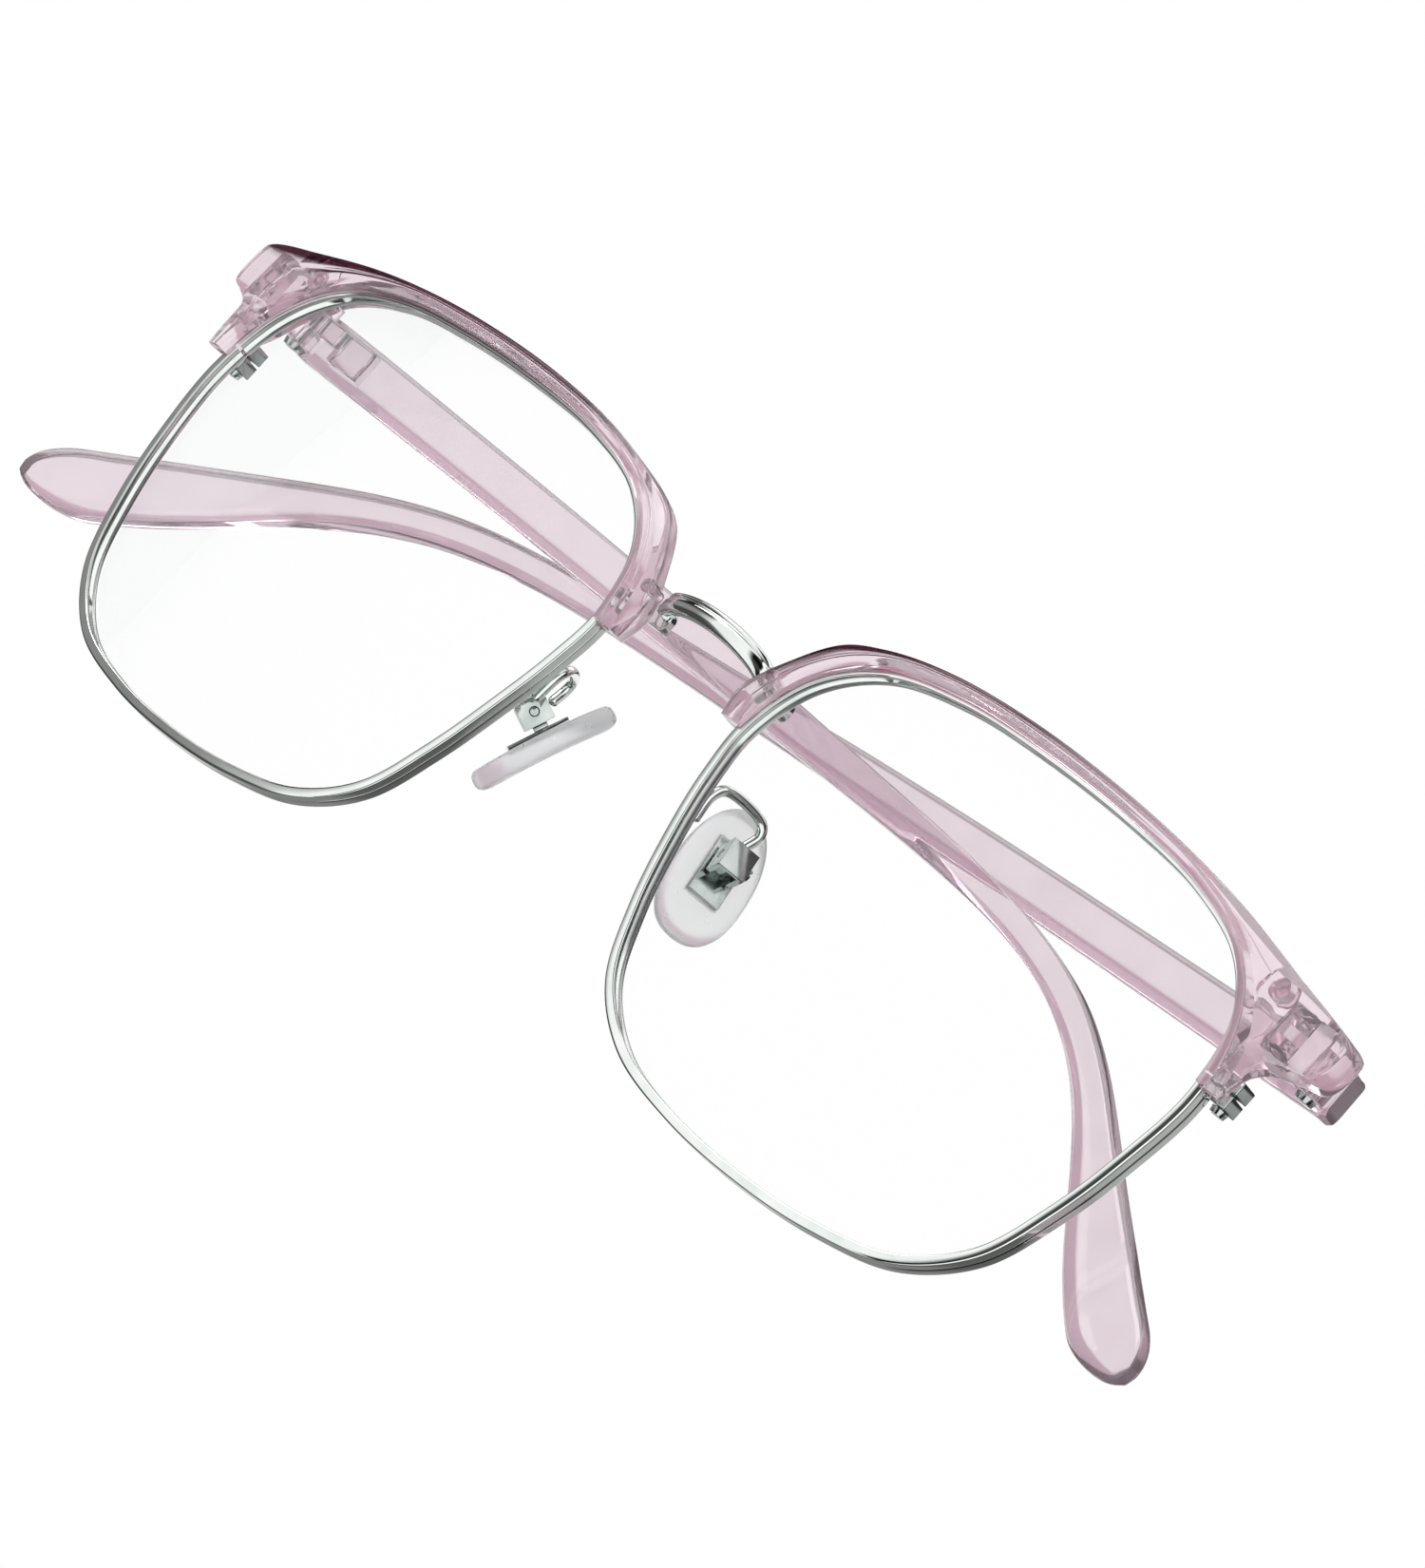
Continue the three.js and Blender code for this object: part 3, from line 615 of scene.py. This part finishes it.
def brow_section(taper, tail=0.0):
    """Corners of the section: offset from the rim's centre line, share of the way to the outer
    edge, and place from front to back. A shallow step runs along the front face, with a bevel above
    it. The tail has next to no lip behind the rim."""
    front, back = -RIM_DEPTH / 2 - FIT, RIM_DEPTH / 2 + FIT
    face = front - LIP_FRONT * (1 - 0.35 * taper)
    rear = back + LIP_BACK * (1 - 0.85 * max(taper, tail))
    floor = RIM_THICK / 2 + FIT
    return [
        (0.05, 0, face + 0.3), (-0.05, 0, face + 0.6),
        (-0.05, 0, front), (floor, 0, front), (floor, 0, back), (-0.1, 0, back),
        (-0.1, 0, rear - 0.15), (0.1, 0, rear), (floor, lerp(0.72, 0.12, tail), rear),
        (floor, 1, lerp(rear - 0.2, face + 1.2, tail)), (floor, 1, face + 0.5),
        (floor, 0.42, face + 0.05), (floor, 0.34, face + 0.16), (floor, 0.2, face),
        (floor, 0, face + 0.02),
    ]


def brow_ring(side, t):
    """The section at a share t of the way from the nasal end to the end of the tail."""
    spans = len(BROW_EDGE) - 1
    k = t * spans
    low = min(int(k), spans - 1)
    u, v, nu, nv = outline_at(lerp(BROW_EDGE[low][2], BROW_EDGE[low + 1][2], k - low))
    edge = spline([(x, y, 0) for x, y, _ in BROW_EDGE], t)
    tail = smooth(-edge.y, *TAIL_TAPER) if edge.x > TAIL_FROM else 0
    ring = [
        (lerp(u + nu * out, edge.x, share), lerp(v + nv * out, edge.y, share), back)
        for out, share, back in brow_section(smooth(-u, *NASAL_TAPER), tail)
    ]
    return [
        on_lens(side, x, y, back + SWEEP * max(0, x - SWEEP_FROM) ** 2)
        for x, y, back in round_ring(ring)
    ]


def round_ring(points):
    """A closed ring of points in space with its corners rounded, except the rim's channel."""
    out = []
    n = len(points)
    for i, p in enumerate(points):
        p = Vector(p)
        if i in CHANNEL:
            out.append(p)
            continue
        a, b = Vector(points[i - 1]) - p, Vector(points[(i + 1) % n]) - p
        start = p + a.normalized() * min(BROW_ROUND, a.length * CORNER_SHARE)
        end = p + b.normalized() * min(BROW_ROUND, b.length * CORNER_SHARE)
        out += arc(start, p, end, CORNER_STEPS)
    return out


def widened(limits):
    """Limits of a pocket for something that fits between the given ones."""
    return limits[0] - FIT, limits[1] + FIT


def brow(side):
    """The clear piece over a rim's upper half, cut for the studs, hinge plate and closing blocks."""
    label = LABEL[side]
    flat = [(p.x, p.y) for p in round_ring([(a + f * 2, b, 0) for a, f, b in brow_section(0)])]
    rings = [brow_ring(side, i / BROW_RINGS) for i in range(BROW_RINGS + 1)]
    obj = loft(f"brow_piece_{label}", rings, flat, CLEAR, 35)
    boss_at = STUDS["temporal"]
    boss = rod_y(side * boss_at["x"], boss_at["z"], BOSS["y"], BOSS["radius"], 64)
    combine(obj, "UNION", [boss])
    tools = [
        rod_y(side * s["x"], s["z"], (s["y"][0] - FIT, s["y"][1] + 6), s["radius"] + FIT)
        for s in STUDS.values()
    ]
    tools.append(box_tool(
        place, mirrored(side, widened(LEAF_X)), (LEAF_PLATE[0] - FIT, 14), widened(LEAF_Z)))
    split = outline_at(SPLIT_ANGLE)
    corner = off_outline(side, split, BLOCK_SIZE["out"], RIM_DEPTH / 2 + FIT) - ORIGIN
    x, y, half = corner.x / MM, corner.y / MM, BLOCK_SIZE["width"] / 2 + FIT
    tools.append(box_tool(
        place, (x - half, x + half), (y - FIT, y + BLOCK_SIZE["depth"] + FIT),
        (5, BLOCK_SIZE["top"] + FIT)))
    combine(obj, "DIFFERENCE", tools)
    shade(obj, 35)
    finish(obj, "front", "tinted_plastic", f"brow_{label}")


def studs(side):
    """Hollow clear pegs that hold the brow piece."""
    label = LABEL[side]
    for name, s in STUDS.items():
        x, z, (front, back) = side * s["x"], s["z"], s["y"]
        stud = rod_y(x, z, (front, back), s["radius"], 40, f"{name}_peg_{label}")
        hollow = rod_y(x, z, (front + 0.5, back + 1), s["radius"] * STUD_HOLLOW)
        combine(stud, "DIFFERENCE", [hollow])
        roll_edges(stud, 0.1, 60)
        finish(stud, "front", "tinted_plastic", f"{name}_stud_{label}")


# ---- temples -------------------------------------------------------------------------------------
# Each table goes by distance from the hinge: how steeply the temple drops, in degrees, half its
# height and its thickness.
SLOPE = [(-3, 1.3), (25, 1.5), (48, 2.3), (75, 2.9), (84, 5), (91, 8.5), (97, 14.5), (103, 24.5),
         (109, 33), (115, 38), (121, 39), (130, 35), (TEMPLE_REACH, 27)]
HALF_HEIGHT = [(-3, 2.2), (6, 2.2), (20, 2.08), (40, 1.95), (57, 1.75), (70, 1.45), (81, 1.3),
               (95, 1.22), (104, 1.32), (110, 1.4), (118, 1.85), (125, 2.63), (131, 3.05),
               (TEMPLE_REACH, 3.05)]
THICKNESS = [(-3, 3.1), (20, 2.8), (45, 2.6), (90, 2.4), (TEMPLE_REACH, 2.3)]
TEMPLE_CORNERS = [(-1, -0.55), (-1, 0.86), (-0.86, 1), (0.85, 1), (1, 0.88), (1, -0.6), (0.6, -1),
                  (-0.72, -1)]
ROOT_START, ROOT_ROUND = -1.3, 0.7  # the butt end, and the length over which it is rounded
ROOT_SLANT, SLANT_LENGTH = 0.8, 1.2  # its slanting cut, and the length over which that eases
# The tip's nose sits above the middle: its top edge rounds over, its lower edge is cut slantwise.
TIP_NOSE, TIP_TOP, TIP_BOTTOM = 0.1, dict(length=5.1, power=2.2), dict(length=6, power=1.6)
TEMPLE_RINGS = 260
EASE_REACH = 4
RING_SPACING = 1.15             # above 1 the rings stand closer together towards the tip
LEAF_ALONG, LEAF_OUT, LEAF_UP = (3.0, 6.4), 2.2, (-1.2, 1.5)  # the temple's own hinge leaf
KNUCKLE_R, KNUCKLE_ROOM = 1.4, 0.3
MIDDLE_KNUCKLE = (14.4, 16.0)   # heights of the temple's knuckle and of all three together
STACK = (12.8, 17.3)


def eased(table, s):
    """A table's value averaged over EASE_REACH each way, so that its corners don't show."""
    return sum(along(table, s + EASE_REACH * k / 3) for k in range(-3, 4)) / 7


def temple_frame(side):
    """Puts a point (out, along, up) of an open temple where the folded one is."""
    turn = side * (pi / 2 - FOLD[side])
    c, s = cos(turn), sin(turn)

    def put(out, y, up):
        x = side * out
        return place(side * PIN_X + x * c - y * s, PIN_Y + x * s + y * c, BLADE_Z + up)
    return put


def tip_cut(s, length, power):
    """Share of the way from an edge of the temple to its nose line."""
    end = clamp((s - TEMPLE_REACH + length) / (length + 0.01))
    return 1 - (1 - end ** power) ** (1 / power)


def temple_rings(side, section):
    """The section all along a temple, from its butt to its tip."""
    bow, put = BOW[side], temple_frame(side)
    rings = []
    y = z = last = 0
    for i in range(TEMPLE_RINGS + 1):
        share = 1 - (1 - i / TEMPLE_RINGS) ** RING_SPACING
        s = ROOT_START + (TEMPLE_REACH - ROOT_START) * share
        slope = radians(eased(SLOPE, (s + last) / 2 - bow["late"])) * bow["drop"]
        y += (s - last) * cos(slope)
        z -= (s - last) * sin(slope)
        last = s
        root = clamp((ROOT_START + ROOT_ROUND - s) / (ROOT_ROUND + 0.02))
        top = 1 + (TIP_NOSE - 1) * tip_cut(s, **TIP_TOP)
        bottom = -1 + (TIP_NOSE + 1) * tip_cut(s, **TIP_BOTTOM)
        middle = (top + bottom) / 2
        rounded = (top - bottom) / 2 * (0.86 + 0.14 * sqrt(1 - root * root))
        half, thick = eased(HALF_HEIGHT, s), along(THICKNESS, s)
        curve = bow["depth"] * (max(0, s - bow["start"]) / (TEMPLE_REACH - bow["start"])) ** 2
        slant = ROOT_SLANT * clamp(1 - (s - ROOT_START) / SLANT_LENGTH)
        rings.append([
            put(TEMPLE_INNER - curve + thick / 2 * (1 + a * (0.55 + 0.45 * rounded)),
                y + slant * max(0, a) + (middle + b * rounded) * half * sin(slope),
                z + (middle + b * rounded) * half * cos(slope))
            for a, b in section
        ])
    return rings


def temple(side):
    """A temple with pockets for its hinge leaf and knuckle, and a hollow round all three knuckles."""
    label, put = LABEL[side], temple_frame(side)
    section = round_corners(TEMPLE_CORNERS, 0.22, 4)
    rings = temple_rings(side, section)
    obj = loft(f"temple_arm_{label}", rings, section, TEMPLE_CLEAR, 35)
    middle = [z - BLADE_Z for z in MIDDLE_KNUCKLE]
    tools = [
        box_tool(put, (-3, LEAF_OUT + FIT), widened(LEAF_ALONG), widened(LEAF_UP)),
        box_tool(put, (-3, 1.35), (-0.2, LEAF_ALONG[0] + 0.2), widened(middle)),
    ]
    ring = circle(KNUCKLE_R + KNUCKLE_ROOM, POST_SIDES)
    heights = (STACK[0] - BLADE_Z - 2, STACK[1] - BLADE_Z + 2)
    hollow = [[put(a, b, up) for a, b in ring] for up in heights]
    tools.append(loft("tool", hollow, ring, CLEAR))
    combine(obj, "DIFFERENCE", tools)
    shade(obj, 35)
    finish(obj, f"temple_{label}", "tinted_plastic", f"temple_{label}")


# ---- bridge --------------------------------------------------------------------------------------
BRIDGE_PATH = [(6.1, 1.6, 11.3), (6.15, 1.0, 12.0), (5.5, 0.2, 12.55), (3.2, -0.5, 13.1),
               (0, -0.8, 13.3)]
BRIDGE_CORNERS = [(0.45, -1.15), (0.55, -0.55), (0.5, 0.35), (0.2, 0.6), (-0.3, 0.6), (-0.55, 0.45),
                  (-0.5, 0.25), (-0.42, 0.17), (-0.62, -0.05), (-0.66, -0.65), (-0.45, -1.1),
                  (0, -1.25)]
FOOT_X, FOOT_Y, FOOT_Z, FOOT_CORNER = (5.4, 9.0), (1.35, 2.05), (10.1, 11.9), 0.75


def bridge():
    """A bar with a ridge along its top edge and a rounded face below it, with a foot at each end."""
    section = round_corners(BRIDGE_CORNERS, 0.15)
    path = BRIDGE_PATH + [(-x, y, z) for x, y, z in reversed(BRIDGE_PATH[:-1])]
    bar = tube("bridge_bar", path, section, SILVER, 120, ends=1.5)
    finish(bar, "front", "wire", "bridge")
    for side in (LEFT, RIGHT):
        (x0, x1), (z0, z1) = mirrored(side, FOOT_X), FOOT_Z
        outline = round_corners([(x0, z0), (x1, z0), (x1, z1), (x0, z1)], FOOT_CORNER, 6)
        rings = [[place(a, y, b) for a, b in outline] for y in FOOT_Y]
        foot = loft(f"bridge_foot_{LABEL[side]}", rings, outline, SILVER)
        roll_edges(foot, 0.12, 50)
        finish(foot, "front", "wire", "bridge")


# ---- nose pads -----------------------------------------------------------------------------------
PAD_CENTRE, PAD_LENGTH, PAD_WIDTH = (10.3, 6.4, -2.1), 12.3, 6.9
PAD_UP, PAD_FACE = (-0.36, 0.24, 0.9), (-0.71, 0.6, -0.37)  # directions
# Towards the nose, and the outline's scale there.
PAD_PROFILE = [(-0.86, 0.3), (-0.92, 0.55), (-0.86, 0.8), (-0.62, 0.97), (-0.25, 1.02), (0.2, 1.02),
               (0.55, 0.93), (0.8, 0.72), (0.93, 0.45), (0.98, 0.2)]
PAD_SIDES = 72
PAD_SQUARENESS = 0.85           # below 1 the outline is fuller than an ellipse
PAD_DROP = 0.12                 # narrower by this share at the top and wider at the bottom
PAD_ROLL, PAD_CROWN = 1.6, 0.25  # how far the rim rolls in, and how far the middle stands back
INSERT_POCKET = (-1.6, 1.6), (-2.7, 2.8), (-1.6, -0.55)
PIVOT_IN = -3.0                 # the pad wire ends this far behind the pad's middle
PAD_BOX_TOP = 1.85


def pad_frame(side):
    """Puts a point (across, up, towards the nose) of a pad in the row frame."""
    flip = Vector((side, 1, 1))
    up, face = Vector(PAD_UP).normalized() * flip, Vector(PAD_FACE).normalized() * flip
    up = (up - face * up.dot(face)).normalized()
    across, centre = up.cross(face), Vector(PAD_CENTRE) * flip

    def put(x, y, z):
        return place(*(centre + across * x + up * y + face * z))
    return put


def fuller(x):
    """A sine or cosine changed so that a circle made of them bulges at its diagonals."""
    return (1 if x > 0 else -1) * abs(x) ** PAD_SQUARENESS


def nose_pad(side):
    """A soft drop shape with a rolled edge, thinner at its rim than over its metal insert."""
    label, put = LABEL[side], pad_frame(side)
    flat = circle(1, PAD_SIDES)
    rings = []
    for z, scale in PAD_PROFILE:
        ring = []
        inset = (1 - scale) * PAD_ROLL
        for c, s in flat:
            x = fuller(c) * (1 - PAD_DROP * s) * (PAD_WIDTH / 2 - inset)
            y = fuller(s) * (PAD_LENGTH / 2 - inset)
            ring.append(put(x, y, z - PAD_CROWN * (1 - (2 * y / PAD_LENGTH) ** 2)))
        rings.append(ring)
    pad = loft(f"silicone_pad_{label}", rings, flat, SILICONE, 60)
    combine(pad, "DIFFERENCE", [box_tool(put, *INSERT_POCKET)])
    shade(pad, 40)
    finish(pad, f"pad_{label}", "pad_silicone", f"nose_pad_{label}")


ARM_PATH = [(9.8, 0.58, -0.3), (9.55, 0.6, 2.1), (9.7, 1.3, 3.2), (10.7, 3.4, 3.6),
            (11.6, 5.1, 3.3), (11.9, 5.5, 2.5)]
ARM_RADIUS = 0.45


def pad_arm(side):
    """The wire from the rim to the pad's clasp."""
    end = (pad_frame(side)(0, PAD_BOX_TOP + 0.15, PIVOT_IN) - ORIGIN) / MM
    path = [(side * x, y, z) for x, y, z in ARM_PATH] + [tuple(end)]
    arm = tube(f"pad_wire_{LABEL[side]}", path, circle(ARM_RADIUS, 20), SILVER, 90,
               up=Vector((0, 1, 0)), ends=0.3)
    finish(arm, "front", "wire", f"pad_arm_{LABEL[side]}")


# ---- small pieces, refined from their CAD solids -------------------------------------------------
def refined(node, name, body, slot, material, width):
    """A copy of a CAD node with its edges rolled over."""
    obj = frame["nodes"][node].copy()
    obj.data = obj.data.copy()
    obj.name = name
    for key in list(obj.keys()):
        del obj[key]
    obj.parent = None
    obj.matrix_world = Matrix.Identity(4)
    bpy.context.scene.collection.objects.link(obj)
    obj.data.materials.clear()
    obj.data.materials.append(material)
    modify(obj, "WELD", merge_threshold=0.004 * MM)
    roll_edges(obj, width, 40)
    finish(obj, body, slot, node)


CELL, CELL_DEPTH = 0.85, 1.3    # square recesses in the front of the hinge plate
CELL_ACROSS, CELL_UP = (0.28, 0.72), (0.27, 0.73)  # their middles, as shares of the plate
KNUCKLES = ((12.8, 14.3), (16.1, 17.3))
LINK_X = (PIN_X - 1.1, PIN_X + 0.6)  # where the plate reaches back to the knuckles
BORE = 0.55                     # radius of the screw hole


def front_hinge(side):
    """A moulded plate with four square recesses in its front and two knuckles behind."""
    label = LABEL[side]
    leaf = box_tool(place, mirrored(side, LEAF_X), LEAF_PLATE, LEAF_Z)
    link_y = (LEAF_PLATE[1] - 0.5, PIN_Y)
    parts = [box_tool(place, mirrored(side, LINK_X), link_y, z) for z in KNUCKLES]
    parts += [post(side * PIN_X, PIN_Y, z, KNUCKLE_R) for z in KNUCKLES]
    combine(leaf, "UNION", parts)
    tools = [post(side * PIN_X, PIN_Y, (LEAF_Z[0] - 3, LEAF_Z[1] + 3), BORE)]
    cell_y = (LEAF_PLATE[0] - 1, LEAF_PLATE[0] + CELL_DEPTH)
    for x in (lerp(*LEAF_X, share) for share in CELL_ACROSS):
        for z in (lerp(*LEAF_Z, share) for share in CELL_UP):
            cell_x = mirrored(side, (x - CELL / 2, x + CELL / 2))
            tools.append(box_tool(place, cell_x, cell_y, (z - CELL / 2, z + CELL / 2)))
    combine(leaf, "DIFFERENCE", tools)
    leaf.name = f"front_hinge_{label}"
    leaf.data.materials.clear()
    leaf.data.materials.append(HINGE_CLEAR)
    roll_edges(leaf, 0.08, 50, segments=2)
    finish(leaf, "front", "tinted_plastic", f"hinge_front_leaf_{label}")


# CAD nodes of metal on the front, and how wide their rolled edges are.
METAL = {"closing_block_upper": 0.14, "closing_block_lower": 0.14, "closing_screw": 0.06,
         "hinge_screw": 0.06, "pad_box": 0.6, "pad_screw": 0.05}


def small_pieces(side):
    label = LABEL[side]
    for node, width in METAL.items():
        refined(f"{node}_{label}", f"metal_{node}_{label}", "front", "wire", DARK_METAL, width)
    refined(f"pad_insert_{label}", f"metal_pad_insert_{label}", f"pad_{label}", "wire",
            DARK_METAL, 0.12)
    front_hinge(side)
    refined(f"hinge_temple_leaf_{label}", f"temple_hinge_{label}", f"temple_{label}",
            "tinted_plastic", HINGE_CLEAR, 0.15)


# ---- assembly ------------------------------------------------------------------------------------
for side in (LEFT, RIGHT):
    rim(side)
    lens(side)
    brow(side)
    studs(side)
    temple(side)
    nose_pad(side)
    pad_arm(side)
    small_pieces(side)
bridge()


# ---- floor, light and camera ---------------------------------------------------------------------
FLOOR_Z = -0.13                 # below the camera, which looks up at the glasses
FLOOR_SIZE = 6.0


def floor():
    h = FLOOR_SIZE / 2
    points = [Vector((x, y, FLOOR_Z)) for x, y in ((-h, -h), (h, -h), (h, h), (-h, h))]
    obj = make("floor", points, [(0, 1, 2, 3)], floor_material())
    obj.visible_glossy = False  # polished wire mirrors the dim lower surroundings instead


# Brightness of the surroundings by elevation, and round the glasses. Both are in degrees, and round
# the glasses 0 is -X, 90 is -Y, 180 is +X and 270 is +Y: the camera stands at 127.
SKY = [(-90, 0.22), (-18, 0.25), (-9, 0.92), (11, 1.0), (15, 0.07), (38, 0.06), (44, 1.2),
       (90, 1.25)]
WALLS = [(0, 0.07), (8, 0.07), (15, 0.3), (40, 0.3), (52, 1.0), (78, 1.0), (84, 0.07), (108, 0.07),
         (114, 1.2), (166, 1.1), (171, 0.08), (200, 0.08), (206, 0.48), (258, 0.52), (274, 1.05),
         (335, 1.05), (342, 0.7), (356, 0.1)]
# Where this is 1, a tall soft box reaches up past the dark band of SKY.
TALL_BOX = [(0, 0), (46, 0), (52, 1), (78, 1), (84, 0), (112, 0), (118, 1), (160, 1), (166, 0)]
TALL_BOX_COLOR = (1.1, 1.1, 1.1, 1)
# What the plastic lets through of those surroundings: its dark streaks are dusky pink, not black.
THROUGH = [(0.0, (0.58, 0.4, 0.48)), (0.25, (0.87, 0.79, 0.83)), (0.7, (1, 1, 1)),
           (1.0, (1.05, 1.05, 1.05))]


def grey_ramp(nodes, links, value, stops):
    return ramp(nodes, links, value, [(position, (grey, grey, grey)) for position, grey in stops])


def studio():
    """White soft boxes all round with dark gaps between them and a dark band above: clear plastic
    and polished wire need something dark to show their shape. The camera itself sees plain white."""
    world = bpy.data.worlds.new("studio")
    bpy.context.scene.world = world
    world.use_nodes = True
    nodes, links = world.node_tree.nodes, world.node_tree.links
    background, output = nodes["Background"], nodes["World Output"]
    coordinates, rays = nodes.new("ShaderNodeTexCoord"), nodes.new("ShaderNodeLightPath")
    split = nodes.new("ShaderNodeSeparateXYZ")
    links.new(coordinates.outputs["Generated"], split.inputs["Vector"])
    height = spread(nodes, links, split.outputs["Z"], 0, 1, -1, 1)
    around = nodes.new("ShaderNodeTexGradient")
    around.gradient_type = "RADIAL"
    links.new(coordinates.outputs["Generated"], around.inputs["Vector"])
    turn = around.outputs["Fac"]
    sky = grey_ramp(nodes, links, height, [((sin(radians(e)) + 1) / 2, v) for e, v in SKY])
    walls = grey_ramp(nodes, links, turn, [(a / 360, v) for a, v in WALLS])
    boxes = grey_ramp(nodes, links, turn, [(a / 360, v) for a, v in TALL_BOX])
    sky = mix_colors(nodes, links, boxes, sky, TALL_BOX_COLOR)
    room = mix_colors(nodes, links, 1, sky, walls, "MULTIPLY")
    through = ramp(nodes, links, room, THROUGH)
    color = mix_colors(nodes, links, rays.outputs["Is Transmission Ray"], room, through)
    links.new(color, background.inputs["Color"])
    plain = nodes.new("ShaderNodeBackground")
    plain.inputs["Color"].default_value = (1, 1, 1, 1)
    choose = nodes.new("ShaderNodeMixShader")
    links.new(rays.outputs["Is Camera Ray"], choose.inputs["Fac"])
    links.new(background.outputs["Background"], choose.inputs[1])
    links.new(plain.outputs["Background"], choose.inputs[2])
    links.new(choose.outputs["Shader"], output.inputs["Surface"])


def softbox(name, position, aim, size, power):
    """A lamp with a square face; position and aim are in metres."""
    light = bpy.data.lights.new(name, "AREA")
    light.shape = "RECTANGLE"
    light.size = light.size_y = size
    light.energy = power
    obj = bpy.data.objects.new(name, light)
    obj.location = position
    obj.rotation_euler = (Vector(aim) - Vector(position)).to_track_quat("-Z", "Y").to_euler()
    bpy.context.scene.collection.objects.link(obj)


# Degrees, and millimetres in the front frame; azimuth 0 is straight in front.
CAMERA = dict(azimuth=37.554, elevation=-6.207, roll=41.821, distance=937.0, aim=(9.283, 0, 2.85),
              lens=279.5)
SENSOR = 36
CLIP = (0.05, 50)               # in metres


def camera():
    az, el, roll = (radians(CAMERA[k]) for k in ("azimuth", "elevation", "roll"))
    back = Vector((sin(az) * cos(el), -cos(az) * cos(el), sin(el)))
    right = Vector((cos(az), sin(az), 0))
    up = back.cross(right)
    x = cos(roll) * right + sin(roll) * up
    y = -sin(roll) * right + cos(roll) * up
    position = place(*(Vector(CAMERA["aim"]) + back * CAMERA["distance"]))
    data = bpy.data.cameras.new("camera")
    data.lens, data.sensor_width, data.sensor_fit = CAMERA["lens"], SENSOR, "AUTO"
    data.clip_start, data.clip_end = CLIP
    obj = bpy.data.objects.new("camera", data)
    rotation = Matrix((x, y, back)).transposed()
    obj.matrix_world = Matrix.Translation(position) @ rotation.to_4x4()
    bpy.context.scene.collection.objects.link(obj)
    bpy.context.scene.camera = obj


floor()
studio()
softbox("key_softbox", position=(-0.7, -0.6, 0.75), aim=(0, 0, 0.03), size=0.6, power=4)
camera()
bpy.context.scene.view_settings.view_transform = "Standard"
